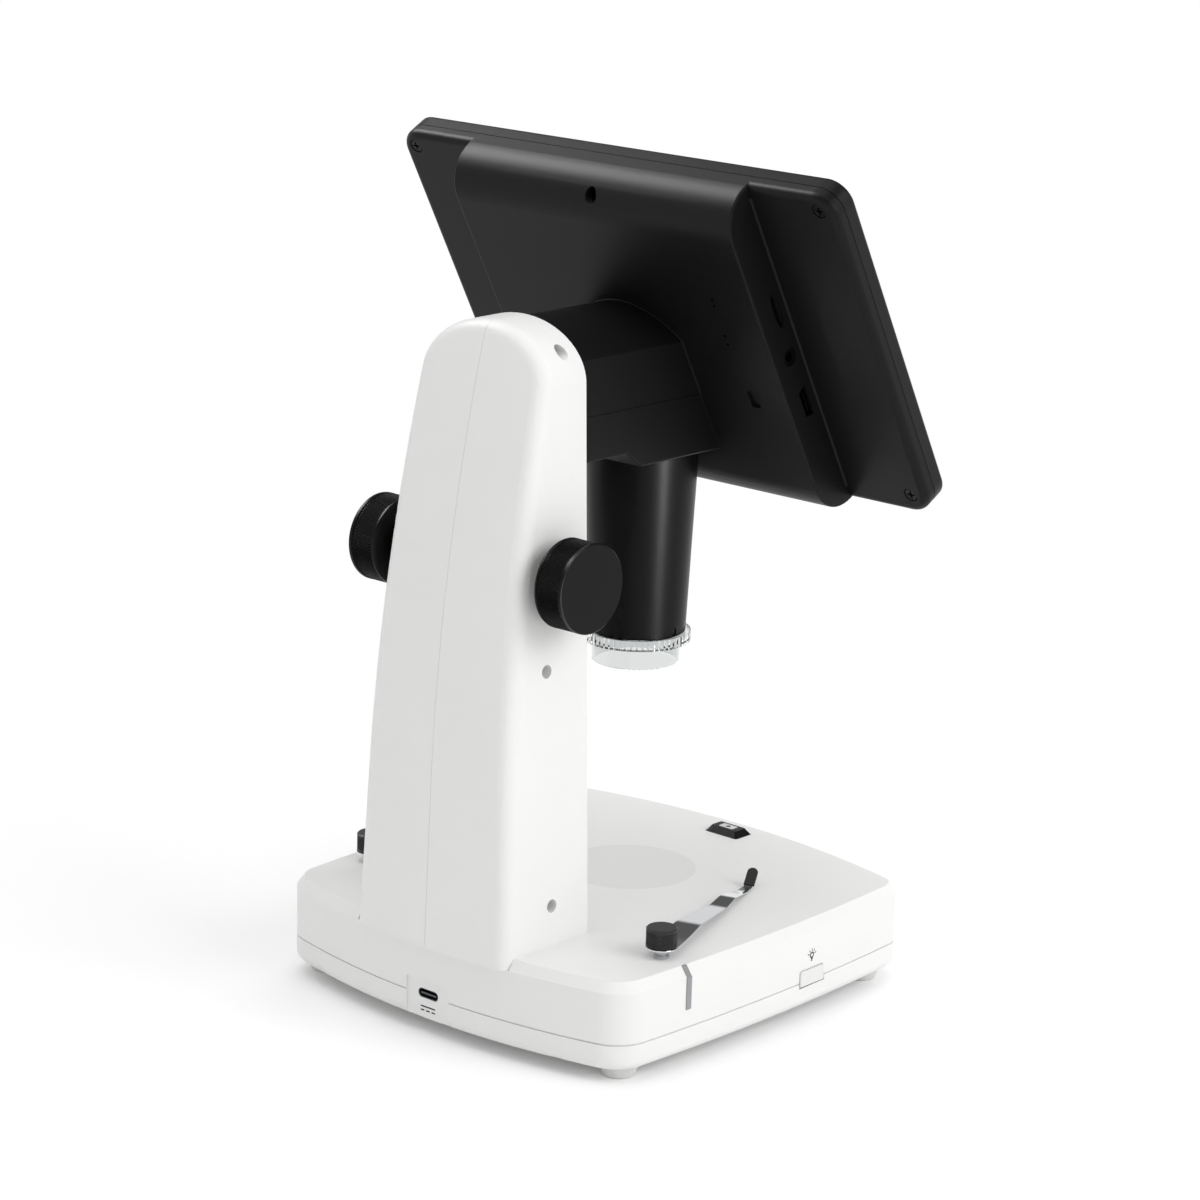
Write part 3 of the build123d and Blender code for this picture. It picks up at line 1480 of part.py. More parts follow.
with BuildPart() as set_screw:
    with BuildSketch(Plane.YZ.offset(-tube_low_diameter / 2 + 0.3)):
        with Locations((stage_y, tube_low_z + 1.8)):
            Circle(1.2)
    extrude(amount=1.2)
write(set_screw.part, "tube_set_screw")

# Focus wheel: a ring with a grooved rim, turning inside the tube
groove_count = 36
with BuildPart() as focus_wheel:
    with BuildSketch(Plane.XY.offset(wheel_low_z)):
        with Locations(stage_centre):
            RegularPolygon(wheel_radius, 2 * groove_count)
            Circle(shelf_radius, mode=Mode.SUBTRACT)
            with PolarLocations(wheel_radius, groove_count):
                Rectangle(0.9, 1.0, rotation=45, mode=Mode.SUBTRACT)
    extrude(amount=wheel_height)
write(focus_wheel.part, "focus_wheel")

with BuildPart() as wheel_retainer:
    with BuildSketch(Plane.XY.offset(retainer_z + wheel_gap)):
        with Locations(stage_centre):
            Circle(bore_radius)
            Circle(shelf_radius, mode=Mode.SUBTRACT)
    extrude(amount=shelf_thickness)
write(wheel_retainer.part, "wheel_retainer")

barrel_low_z = wheel_low_z - 12.0
barrel_high_z = retainer_z + 9.5
nose_tip_z = ring_board_z - 0.4
with BuildPart() as lens_barrel:
    with BuildSketch(Plane.XZ.offset(-stage_y)):
        with BuildLine():
            Polyline(
                (5.5, nose_tip_z),
                (lens_diameter / 2 - 0.8, nose_tip_z),
                (lens_diameter / 2, nose_tip_z + 1.5),
                (lens_diameter / 2, barrel_low_z),
                (barrel_radius, barrel_low_z + 3.0),
                (barrel_radius, barrel_high_z),
                (5.5, barrel_high_z),
                close=True,
            )
        make_face()
    revolve(axis=tube_axis)
write(lens_barrel.part, "lens_barrel")

with BuildPart() as lens:
    with BuildSketch(Plane.XZ.offset(-stage_y)):
        with BuildLine():
            bulb = ThreePointArc(
                (0, nose_tip_z + 0.6), (2.8, nose_tip_z + 0.9), (5.5, nose_tip_z + 1.8)
            )
            Polyline(bulb @ 1, (5.5, nose_tip_z + 4.5), (0, nose_tip_z + 4.5), bulb @ 0)
        make_face()
    revolve(axis=tube_axis)
write(lens.part, "objective_lens")

with BuildPart() as led_ring:
    with BuildSketch(Plane.XY.offset(ring_board_z)):
        with Locations(stage_centre):
            Circle(spigot_radius)
            Circle(lens_diameter / 2 + 0.6, mode=Mode.SUBTRACT)
    extrude(amount=board_thickness)
    with BuildSketch(Plane.XY.offset(ring_board_z)):
        with Locations(stage_centre):
            with PolarLocations(11.0, 8, start_angle=22.5):
                Rectangle(2.8, 3.2)
    extrude(amount=-0.9)
write(led_ring.part, "led_ring")

with BuildPart() as sensor_board:
    with BuildSketch(Plane.XY.offset(tube_neck_top_z)):
        with Locations(stage_centre):
            Circle(tube_neck_radius - 0.4)
    extrude(amount=board_thickness)
    with BuildSketch(Plane.XY.offset(tube_neck_top_z)):
        with Locations(stage_centre):
            Rectangle(14, 14)
    extrude(amount=-4.0)
write(sensor_board.part, "sensor_board")

# Nose cap: a clear cup open at the bottom, a toothed ring and a spigot
with BuildPart() as nose_cap:
    with BuildSketch(Plane.XY.offset(tube_low_z)):
        with Locations(stage_centre):
            Circle(nose_ring_diameter / 2)
            with PolarLocations(nose_ring_diameter / 2 + 0.2, nose_teeth):
                Rectangle(0.8, 0.8, rotation=45, mode=Mode.SUBTRACT)
    extrude(amount=-nose_ring_height)
    with BuildSketch(Plane.XY.offset(tube_low_z - nose_ring_height)):
        with Locations(stage_centre):
            Circle(nose_cup_diameter / 2)
    extrude(amount=-nose_cup_height, taper=2.4)
    with BuildSketch(Plane.XY.offset(tube_low_z)):
        with Locations(stage_centre):
            Circle(spigot_radius)
    extrude(amount=3.0)
    with BuildSketch(Plane.XY.offset(tube_low_z + 3.0)):
        with Locations(stage_centre):
            Circle(spigot_radius - nose_wall)
    extrude(amount=-nose_cup_height - nose_ring_height - 3.0, mode=Mode.SUBTRACT)
write(nose_cap.part, "nose_cap")

# ------------------------------------------------------------------ stage clips
clip_stud_top = clip_post_height + thumb_height
nut_height = 1.6
with BuildPart() as clip_posts:
    for x in (-clip_post_x, clip_post_x):
        with BuildSketch(Plane.XY.offset(deck_z)):
            with Locations((x, clip_post_y)):
                Circle(clip_post_diameter / 2)
        extrude(amount=clip_post_height)
        with BuildSketch(Plane.XY.offset(ceiling_z - nut_height)):
            with Locations((x, clip_post_y)):
                Circle(clip_stud_diameter / 2 - running_gap)
        extrude(amount=deck_z + clip_stud_top - ceiling_z + nut_height)
        with BuildSketch(Plane.XY.offset(ceiling_z)):
            with Locations((x, clip_post_y)):
                Circle(clip_post_diameter / 2)
        extrude(amount=-nut_height)
write(clip_posts.part, "clip_posts")

clip_root = Plane(
    origin=(-clip_post_x, clip_post_y, deck_z),
    x_dir=(cos(radians(clip_aim)), -sin(radians(clip_aim)), 0),
    z_dir=(0, 0, 1),
)
clip_side = Plane(
    origin=clip_root.origin,
    x_dir=clip_root.x_dir,
    z_dir=clip_root.x_dir.cross(Vector(0, 0, 1)),
)
clip_end = clip_reach + clip_tip_run
strip_centre = clip_post_height + running_gap + clip_strip_thickness / 2
bend_start = clip_reach - 4.0 - clip_bend_length
sleeve_start = clip_end - tip_sleeve_length


def clip_form(skin):
    """The bent strip: its side outline cut to its plan, both grown by skin."""
    root = clip_root_width / 2 + skin
    neck = clip_tip_width * 0.65 + skin
    tip = clip_tip_width / 2 + skin
    rest = clip_lift + clip_strip_thickness / 2
    with BuildSketch(clip_side, mode=Mode.PRIVATE) as section:
        with BuildLine() as path:
            Polyline(
                (-root - 1, strip_centre),
                (bend_start, strip_centre + 0.2),
                (clip_reach - 4.0, rest + 0.1),
                (clip_reach, rest),
                (clip_reach + 1.8, rest + 0.9),
                (clip_end + tip, clip_tip_rise + tip),
            )
            fillet(path.vertices().sort_by(Axis(clip_root.origin, clip_root.x_dir))[1:-1], 0.8)
            offset(
                path.line,
                amount=clip_strip_thickness / 2 + skin,
                side=Side.BOTH,
                mode=Mode.REPLACE,
            )
        make_face()
    with BuildSketch(clip_root, mode=Mode.PRIVATE) as plan:
        with BuildLine():
            Polyline(
                (0, root),
                (bend_start, neck),
                (clip_end - tip, tip),
                (clip_end - tip, -tip),
                (bend_start, -neck),
                (0, -root),
                close=True,
            )
        make_face()
        Circle(root)
        with Locations((clip_end - tip, 0)):
            Circle(tip)
    with BuildPart(mode=Mode.PRIVATE) as form:
        extrude(section.sketch, amount=2 * root, both=True)
        extrude(plan.sketch, amount=2 * thumb_height, mode=Mode.INTERSECT)
    return form.part


with BuildPart() as clip_strip:
    add(clip_form(0))
    with BuildSketch(clip_root):
        Circle(clip_stud_diameter / 2 + running_gap)
    extrude(amount=thumb_height, mode=Mode.SUBTRACT)

with BuildPart() as clip_tip:
    add(clip_form(tip_sleeve_skin))
    with BuildSketch(clip_root):
        with Locations((sleeve_start - clip_reach, 0)):
            Rectangle(2 * clip_reach, 4 * clip_root_width)
    extrude(amount=3 * thumb_height, mode=Mode.SUBTRACT)
    add(clip_form(0), mode=Mode.SUBTRACT)

# Thumb knobs over the clips, blind bored for the studs
knob_seat = clip_post_height + 2 * running_gap + clip_strip_thickness
with BuildPart() as thumb_knob:
    with BuildSketch(clip_root.offset(knob_seat)):
        Circle(thumb_diameter / 2)
    extrude(amount=thumb_height)
    chamfer(thumb_knob.edges().filter_by(GeomType.CIRCLE), 0.5)
    with BuildSketch(clip_root.offset(knob_seat)):
        Circle(clip_stud_diameter / 2 + running_gap)
    extrude(amount=clip_stud_top - knob_seat + 0.2, mode=Mode.SUBTRACT)

write(clip_strip.part, "clip_strip_left")
write(clip_tip.part, "clip_tip_left")
write(thumb_knob.part, "thumb_knob_left")
write(mirror(clip_strip.part, about=Plane.YZ), "clip_strip_right")
write(mirror(clip_tip.part, about=Plane.YZ), "clip_tip_right")
write(mirror(thumb_knob.part, about=Plane.YZ), "thumb_knob_right")
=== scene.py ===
import math

import bmesh
import bpy
from mathutils import Matrix, Vector


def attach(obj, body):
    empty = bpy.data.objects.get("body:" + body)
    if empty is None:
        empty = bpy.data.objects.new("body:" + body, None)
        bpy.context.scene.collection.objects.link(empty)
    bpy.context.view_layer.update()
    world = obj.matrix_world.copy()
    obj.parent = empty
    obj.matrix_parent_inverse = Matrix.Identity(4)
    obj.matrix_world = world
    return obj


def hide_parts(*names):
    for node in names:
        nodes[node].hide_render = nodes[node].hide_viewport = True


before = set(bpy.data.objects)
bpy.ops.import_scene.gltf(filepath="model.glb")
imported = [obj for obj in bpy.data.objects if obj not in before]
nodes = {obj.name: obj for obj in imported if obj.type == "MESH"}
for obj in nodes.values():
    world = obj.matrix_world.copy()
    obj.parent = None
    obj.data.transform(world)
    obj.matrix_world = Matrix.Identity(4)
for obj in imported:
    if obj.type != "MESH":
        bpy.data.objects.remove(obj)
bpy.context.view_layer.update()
scene = bpy.context.scene
scene.view_settings.view_transform = "Standard"
mm = 0.001


# ---------------------------------------------------------------- studio
# A desk-top sweep of matt white card under three soft boxes, with two strips
# that only show in glossy surfaces. The card keeps the contact shadow, and
# fades to plain white away from the microscope.
def linear(code):
    """An sRGB hex colour as the linear colour that a shader takes."""
    parts = [int(code[i:i + 2], 16) / 255 for i in (1, 3, 5)]
    return (*((p / 12.92 if p <= 0.04045 else ((p + 0.055) / 1.055) ** 2.4) for p in parts), 1.0)


def add(tree, kind, inputs=None, **settings):
    """Adds one node, sets it up, and fills or links its inputs."""
    node = tree.nodes.new(kind)
    for name, value in settings.items():
        setattr(node, name, value)
    for key, value in (inputs or {}).items():
        if isinstance(value, bpy.types.NodeSocket):
            tree.links.new(value, node.inputs[key])
        else:
            node.inputs[key].default_value = value
    return node


def new_material(name):
    """An empty node material and its tree."""
    material = bpy.data.materials.new(name)
    material.use_nodes = True
    material.node_tree.nodes.clear()
    return material, material.node_tree


sharp_bend = math.radians(32)       # two faces that meet at more than this show an edge


def object_from(name, bm, material=None):
    """A mesh object made from a bmesh, smooth but for its edges, with its normals turned outwards."""
    mesh = bpy.data.meshes.new(name)
    bmesh.ops.recalc_face_normals(bm, faces=bm.faces)
    bm.to_mesh(mesh)
    bm.free()
    mesh.shade_smooth()
    mesh.set_sharp_from_angle(angle=sharp_bend)
    made = bpy.data.objects.new(name, mesh)
    scene.collection.objects.link(made)
    if material:
        mesh.materials.append(material)
    return made


view_azimuth = math.radians(41.20)
view_elevation = math.radians(15.15)
view_roll = math.radians(1.59)
view_distance = 1259.23 * mm
view_target = Vector((0.08, 0.60, 130.0)) * mm
image_side = 1200                   # pixels
back = Vector((-math.sin(view_azimuth) * math.cos(view_elevation),
               math.cos(view_azimuth) * math.cos(view_elevation),
               math.sin(view_elevation)))
level_right = (-back).cross(Vector((0, 0, 1))).normalized()
level_up = level_right.cross(-back)
right = level_right * math.cos(view_roll) + level_up * math.sin(view_roll)
up = level_up * math.cos(view_roll) - level_right * math.sin(view_roll)
lens_view = bpy.data.cameras.new("camera")
lens_view.sensor_width = 36.0
lens_view.lens = 114.24
lens_view.shift_x = -2.96 / image_side
lens_view.shift_y = 2.78 / image_side
lens_view.clip_start = 0.05
lens_view.clip_end = 20.0
camera = bpy.data.objects.new("camera", lens_view)
scene.collection.objects.link(camera)
camera.matrix_world = Matrix.Translation(view_target + back * view_distance) @ Matrix(
    (right, up, back)).transposed().to_4x4()
scene.camera = camera


def soft_box(name, toward, distance, width, height, watts):
    """An area lamp, in metres, that faces the microscope from one direction."""
    lamp = bpy.data.lights.new(name, "AREA")
    lamp.shape = "RECTANGLE"
    lamp.size = width
    lamp.size_y = height
    lamp.energy = watts
    holder = bpy.data.objects.new(name, lamp)
    scene.collection.objects.link(holder)
    direction = Vector(toward).normalized()
    holder.matrix_world = Matrix.Translation(
        view_target + direction * distance) @ direction.to_track_quat("Z", "Y").to_matrix().to_4x4()
    return holder


def glossy_strip(name, toward, distance, width, height, watts):
    """A lamp that only shows in glossy surfaces, as a highlight along their rounds."""
    holder = soft_box(name, toward, distance, width, height, watts)
    holder.visible_camera = False
    holder.visible_diffuse = False
    holder.visible_transmission = False
    return holder


soft_box("side_soft_box", toward=(-1.0, -0.15, 0.55), distance=1.7, width=1.1, height=1.1, watts=11.8)
soft_box("top_soft_box", toward=(0.1, 0.1, 1.0), distance=1.6, width=1.4, height=1.4, watts=8.1)
front_box = soft_box("front_soft_box", toward=(0.45, -1.0, 0.7), distance=1.8, width=1.2, height=1.2,
                     watts=5.0)
front_box.visible_glossy = False
tube_strip = glossy_strip("tall_side_strip", toward=(-1.0, 0.0, 0.24), distance=0.55, width=0.09,
                          height=0.55, watts=9.0)
glossy_strip("left_top_strip", toward=(0.70, 0.12, 0.72), distance=1.5, width=0.7, height=0.7, watts=27.0)


def rays(tree, first, *others):
    """1 on the kinds of ray that are named, and 0 on all others."""
    path = add(tree, "ShaderNodeLightPath")
    named = path.outputs[f"Is {first} Ray"]
    for kind in others:
        named = add(tree, "ShaderNodeMath", {0: named, 1: path.outputs[f"Is {kind} Ray"]},
                    operation="MAXIMUM").outputs[0]
    return named


# The room is plain white where it is seen. Glossy surfaces find it white by the
# floor and darker from the wall's foot to its head, as between soft boxes.
room_level = 0.64                   # of white, on matt surfaces
ceiling_level = 0.12                # of white, in glossy surfaces
wall_foot, wall_head = 0.10, 0.40   # sines of the elevations that it darkens between
surroundings = bpy.data.worlds.new("white_room")
surroundings.use_nodes = True
scene.world = surroundings
room = surroundings.node_tree
room.nodes.clear()
aim = add(room, "ShaderNodeTexCoord").outputs["Generated"]
elevation = add(room, "ShaderNodeSeparateXYZ", {0: aim}).outputs["Z"]
low_wall = add(room, "ShaderNodeMapRange", {
    "Value": elevation, "From Min": wall_foot, "From Max": wall_head, "To Min": 1.0, "To Max": 0.0},
    interpolation_type="SMOOTHSTEP").outputs[0]
reflected = add(room, "ShaderNodeMapRange", {
    "Value": low_wall, "To Min": ceiling_level, "To Max": 1.0}).outputs[0]
# A Mix node takes its factor at 0 and its two numbers at 2 and 3
level = add(room, "ShaderNodeMix", {0: rays(room, "Glossy"), 2: room_level, 3: reflected}).outputs[0]
level = add(room, "ShaderNodeMix", {0: rays(room, "Camera", "Transmission"), 2: level, 3: 1.0}).outputs[0]
glow = add(room, "ShaderNodeBackground", {"Color": (1, 1, 1, 1), "Strength": level}).outputs[0]
add(room, "ShaderNodeOutputWorld", {"Surface": glow})

# Matt card: a diffuse white that takes a soft grey shadow, lifted a little by
# the light that the room throws back, and lost into white some way out.
fade_start, fade_end = 0.16, 0.30   # metres from the middle
shadow_lift = 0.07
card, tree = new_material("matt_white_card")
place = add(tree, "ShaderNodeTexCoord").outputs["Object"]
fibre = add(tree, "ShaderNodeTexNoise", {"Vector": place, "Scale": 900.0, "Detail": 3.0}).outputs[0]
relief = add(tree, "ShaderNodeBump", {"Height": fibre, "Strength": 0.04, "Distance": 0.2 * mm}).outputs[0]
paper = add(tree, "ShaderNodeBsdfDiffuse", {"Color": linear("#F7F7F7"), "Normal": relief}).outputs[0]
lift = add(tree, "ShaderNodeEmission", {"Color": (1, 1, 1, 1), "Strength": shadow_lift}).outputs[0]
lifted = add(tree, "ShaderNodeAddShader", {0: paper, 1: lift}).outputs[0]
plain = add(tree, "ShaderNodeEmission", {"Color": (1, 1, 1, 1), "Strength": 1.0}).outputs[0]
reach = add(tree, "ShaderNodeVectorMath", {0: place}, operation="LENGTH").outputs["Value"]
fade = add(tree, "ShaderNodeMapRange", {"Value": reach, "From Min": fade_start, "From Max": fade_end},
           interpolation_type="SMOOTHSTEP").outputs[0]
near_far = add(tree, "ShaderNodeMixShader", {0: fade, 1: lifted, 2: plain}).outputs[0]
seen = rays(tree, "Camera", "Glossy", "Transmission")
shown = add(tree, "ShaderNodeMixShader", {0: seen, 1: paper, 2: near_far}).outputs[0]
add(tree, "ShaderNodeOutputMaterial", {"Surface": shown})
sweep = bmesh.new()
bmesh.ops.create_grid(sweep, x_segments=8, y_segments=8, size=3.0)
floor = object_from("studio_sweep", sweep, card)


# ---------------------------------------------------------------- base
# Two clam shells of satin white ABS, the seam a dark line between them, on
# four moulded rubber feet. Screws from below hold the shells together.
def finished(name, colour, roughness, grain=1.0, relief=0.0, drift=0.02, drift_size=25.0, metallic=0.0,
             shine=0.5):
    """A surface with colour that drifts over drift_size and a grain, both in mm, and its relief in mm."""
    material, tree = new_material(name)
    place = add(tree, "ShaderNodeTexCoord").outputs["Object"]
    base = linear(colour)
    low = (*(c * (1 - drift) for c in base[:3]), 1.0)
    high = (*(min(c * (1 + drift), 1.0) for c in base[:3]), 1.0)
    wide = add(tree, "ShaderNodeTexNoise", {
        "Vector": place, "Scale": 1000.0 / drift_size, "Detail": 2.0}).outputs[0]
    # A Mix node takes its two colours at 6 and 7
    tint = add(tree, "ShaderNodeMix", {0: wide, 6: low, 7: high}, data_type="RGBA").outputs[2]
    wear = add(tree, "ShaderNodeTexNoise", {
        "Vector": place, "Scale": 1000.0 / grain, "Detail": 3.0}).outputs[0]
    rough = add(tree, "ShaderNodeMapRange", {
        "Value": wear, "To Min": roughness * 0.88, "To Max": min(roughness * 1.12, 1.0)}).outputs[0]
    inputs = {"Base Color": tint, "Roughness": rough, "Metallic": metallic, "Specular IOR Level": shine}
    if relief:
        inputs["Normal"] = add(tree, "ShaderNodeBump", {
            "Height": wear, "Strength": 1.0, "Distance": relief * mm}).outputs[0]
    skin = add(tree, "ShaderNodeBsdfPrincipled", inputs).outputs[0]
    add(tree, "ShaderNodeOutputMaterial", {"Surface": skin})
    return material


def coat_nodes(material, *names):
    """Puts a finish on CAD nodes."""
    for name in names:
        mesh = nodes[name].data
        mesh.materials.clear()
        mesh.materials.append(material)


# Satin ABS, moulded in a fine spark-eroded tool: an even, almost shadowless white.
# The eroded pits are 0.1 mm and drawn at 0.4 mm, so that they just show.
white_abs = finished("satin_white_abs", "#EDEDEC", 0.42, grain=0.4, relief=0.006, drift=0.012, shine=0.12)
coat_nodes(white_abs, "base_upper_shell", "base_lower_shell")
# Soft white rubber, moulded plain, a little greyer than the shells.
foot_rubber = finished("white_foot_rubber", "#D8D8D6", 0.75, grain=0.5, relief=0.02, drift=0.03)
# Zinc-plated steel, cold headed: bright grey with a fine turned look.
plated_steel = finished("zinc_plated_steel", "#B9BBBE", 0.32, grain=0.3, relief=0.01, metallic=1.0)
coat_nodes(plated_steel, "column_foot_screws")
# Mild steel plate, cut and left plain: dull grey with mill patches.
mill_steel = finished("mild_steel_plate", "#85888C", 0.5, grain=1.2, relief=0.02, drift=0.12, metallic=1.0)
coat_nodes(mill_steel, "ballast_plate")
# Glass-epoxy board under green solder resist: glossy green.
green_board = finished("green_solder_resist", "#1F5A3A", 0.3, grain=0.6, relief=0.01, drift=0.08)
coat_nodes(green_board, "power_board")
# Tin-plated steel shell of the inlet, deep drawn: mid grey with soft highlights.
socket_steel = finished("tin_plated_socket_steel", "#54565A", 0.35, grain=0.3, relief=0.005, metallic=1.0)
coat_nodes(socket_steel, "usb_c_receptacle")


def turned(profile, steps=64):
    """A bmesh turned about Z from (radius, height) points in mm."""
    bm = bmesh.new()
    points = [bm.verts.new((radius * mm, 0.0, height * mm)) for radius, height in profile]
    edges = [bm.edges.new(pair) for pair in zip(points, points[1:])]
    bmesh.ops.spin(bm, geom=points + edges, cent=(0, 0, 0), axis=(0, 0, 1), angle=2 * math.pi,
                   steps=steps, use_merge=True)
    bmesh.ops.remove_doubles(bm, verts=bm.verts, dist=1e-7)
    return bm


def pattern(name, **sizes):
    """A new Geometry Nodes tree with a named input for each size, and its input sockets."""
    tree = bpy.data.node_groups.new(name, "GeometryNodeTree")
    tree.interface.new_socket("Geometry", in_out="OUTPUT", socket_type="NodeSocketGeometry")
    tree.interface.new_socket("Geometry", in_out="INPUT", socket_type="NodeSocketGeometry")
    tree.interface.new_socket("Material", in_out="INPUT", socket_type="NodeSocketMaterial")
    for size, kind in sizes.items():
        tree.interface.new_socket(size, in_out="INPUT", socket_type="NodeSocket" + kind)
    return tree, tree.nodes.new("NodeGroupInput").outputs


def made_by(tree, name, points=(), **values):
    """The plain mesh that a tree makes at the points, in mm, from its inputs."""
    sites = bpy.data.meshes.new(name)
    sites.from_pydata([Vector(point) * mm for point in points], [], [])
    maker = bpy.data.objects.new(name, sites)
    scene.collection.objects.link(maker)
    modifier = maker.modifiers.new("pattern", "NODES")
    modifier.node_group = tree
    for socket in tree.interface.items_tree:
        if socket.in_out == "INPUT" and socket.name != "Geometry":
            modifier[socket.identifier] = values[socket.name]
    graph = bpy.context.evaluated_depsgraph_get()
    mesh = bpy.data.meshes.new_from_object(maker.evaluated_get(graph), depsgraph=graph)
    # The maker has an empty first slot, so its slots are set again
    mesh.materials.clear()
    mesh.materials.append(values["Material"])
    bpy.data.objects.remove(maker)
    bpy.data.meshes.remove(sites)
    return mesh


def piece_from(name, mesh, body, *replaced):
    """A finished piece from a mesh: it rides on a body and may stand for CAD nodes."""
    piece = bpy.data.objects.new(name, mesh)
    scene.collection.objects.link(piece)
    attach(piece, body)
    if replaced:
        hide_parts(*replaced)
    return piece


# Like fasteners and feet, set out on given points and turned one way
set_out, sizes = pattern("set_out_on_points", Item="Object", Turn="Vector")
item = add(set_out, "GeometryNodeObjectInfo", {"Object": sizes["Item"], "As Instance": True})
laid = add(set_out, "GeometryNodeInstanceOnPoints", {
    "Points": sizes["Geometry"], "Instance": item.outputs["Geometry"], "Rotation": sizes["Turn"]})
solid = add(set_out, "GeometryNodeRealizeInstances", {0: laid.outputs[0]})
dressed = add(set_out, "GeometryNodeSetMaterial", {
    "Geometry": solid.outputs[0], "Material": sizes["Material"]})
add(set_out, "NodeGroupOutput", {0: dressed.outputs[0]})


def placed(name, item, points, turn, material, body, *replaced):
    """Copies of one item on points in mm, as one piece; the item itself is used up."""
    mesh = made_by(set_out, name, points, Item=item, Turn=turn, Material=material)
    bpy.data.objects.remove(item)
    return piece_from(name, mesh, body, *replaced)


# Feet: cones of soft rubber with a round edge and a shallow cup below
foot_x, foot_y = 65.7, 61.9
foot = object_from("one_foot", turned([
    (0, 4.3), (6.4, 4.3), (5.6, 0.9), (5.35, 0.3), (4.9, 0.0), (3.6, 0.0), (3.2, 0.5), (0, 0.5)], 40))
placed("rubber_feet", foot, [(x, y, 0) for x in (-foot_x, foot_x) for y in (-foot_y, foot_y)],
       (0, 0, 0), foot_rubber, "stand", "base_feet")


def drawn_on(bm, edges, scale, drop):
    """Carries an open rim on, drawn in or out about Z and lowered by some mm."""
    made = bmesh.ops.extrude_edge_only(bm, edges=edges)["geom"]
    points = [part for part in made if isinstance(part, bmesh.types.BMVert)]
    for point in points:
        point.co = (point.co.x * scale, point.co.y * scale, point.co.z - drop * mm)
    return [part for part in made
            if isinstance(part, bmesh.types.BMEdge) and all(end in points for end in part.verts)]


def outline(bm, points):
    """A closed line of edges through flat points in mm."""
    ends = [bm.verts.new((x * mm, y * mm, 0.0)) for x, y in points]
    return [bm.edges.new(pair) for pair in zip(ends, ends[1:] + ends[:1])]


def circle(x, y, radius, steps=20):
    """Points of a circle."""
    return [(x + radius * math.cos(2 * math.pi * k / steps), y + radius * math.sin(2 * math.pi * k / steps))
            for k in range(steps)]


def cross_screw(head, height, shank, length):
    """A screw with a cross recess: its head's top at the origin, its point down; radii and lengths in mm."""
    bm = bmesh.new()
    reach, half = head * 0.62, head * 0.13      # of the recess's arms
    flat, bevel = 0.9, 0.1                      # of the head's radius
    rim = outline(bm, circle(0, 0, head * flat, 24))
    cross = outline(bm, [
        (half, reach), (-half, reach), (-half, half), (-reach, half), (-reach, -half), (-half, -half),
        (-half, -reach), (half, -reach), (half, -half), (reach, -half), (reach, half), (half, half)])
    bmesh.ops.triangle_fill(bm, use_beauty=True, edges=rim + cross)
    recess_floor = drawn_on(bm, cross, 0.75, height * 0.6)
    bmesh.ops.triangle_fill(bm, use_beauty=True, edges=recess_floor)
    for scale, drop in ((1 / flat, bevel * head), (1, height - bevel * head), (shank / head, 0), (1, length)):
        rim = drawn_on(bm, rim, scale, drop)
    bmesh.ops.triangle_fill(bm, use_beauty=True, edges=rim)
    return object_from("one_screw", bm)


# Shell screws, driven from below into the pillars
pillar_x, pillar_y, screw_seat = 59, 48, 5.1
placed("shell_screws", cross_screw(2.8, 1.8, 1.25, 16.2),
       [(x, y, screw_seat) for x in (-pillar_x, pillar_x) for y in (-pillar_y, pillar_y)],
       (math.pi, 0, 0), plated_steel, "stand", "base_screws")

ink_thickness = 0.04


def printed(name, lines, place, ink, body):
    """A mark pad-printed in ink: flat outlines in mm, laid on a surface by place(x, y)."""
    bm = bmesh.new()
    edges = [edge for line in lines for edge in outline(bm, line)]
    bmesh.ops.triangle_fill(bm, use_beauty=True, edges=edges)
    for point in bm.verts:
        point.co = Vector(place(point.co.x / mm, point.co.y / mm)) * mm
    bmesh.ops.solidify(bm, geom=bm.faces[:], thickness=ink_thickness * mm)
    piece = object_from(name, bm, ink)
    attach(piece, body)


def stroke(x, y, width, height, turn=0.0):
    """Corners of a straight stroke about its middle, turned by some degrees."""
    c, s = math.cos(math.radians(turn)), math.sin(math.radians(turn))
    return [(x + c * a * width / 2 - s * b * height / 2, y + s * a * width / 2 + c * b * height / 2)
            for a, b in ((-1, -1), (1, -1), (1, 1), (-1, 1))]


# Pad-printing ink: matt, a little soft at the edges of its strokes.
# The same ink also paints the line of shadow by the lamp button.
grey_ink_and_painted_shadow = finished("dark_grey_pad_ink_and_painted_shadow", "#4A4A4C", 0.6, grain=0.3, relief=0.002, drift=0.08, drift_size=2.0)
# The general direct-current sign, a full line over a broken one, under the inlet
inlet_wall_y, sign_height = 81.14, 8.35
line_width, line_length, dash_length, dash_step = 0.42, 6.4, 1.55, 2.42
printed("direct_current_sign",
        [stroke(0, 0.75, line_length, line_width)]
        + [stroke(x, -0.55, dash_length, line_width) for x in (-dash_step, 0, dash_step)],
        lambda x, y: (-x, inlet_wall_y, sign_height + y), grey_ink_and_painted_shadow, "stand")


# ---------------------------------------------------------------- stage
# A frosted acrylic disc over a white lamp board, a black button in front of it,
# a lamp button in the left wall and a milky light guide by the column.
# Frosted acrylic: milky, even and dull, a little greyer than the shells.
frosted = finished("frosted_acrylic", "#E3E3E1", 0.6, grain=0.3, relief=0.01, drift=0.01)
coat_nodes(frosted, "stage_disc")
# White solder resist: a clean, slightly warm white.
white_resist = finished("white_solder_resist", "#E4E4DE", 0.4, grain=0.5, relief=0.01)
coat_nodes(white_resist, "stage_lamp_board", "led_ring")
# Milky polycarbonate over unlit lamps: grey, smooth and dim.
milky = finished("milky_polycarbonate", "#949697", 0.25, grain=0.5, drift=0.03)
coat_nodes(milky, "indicator_light_guide")
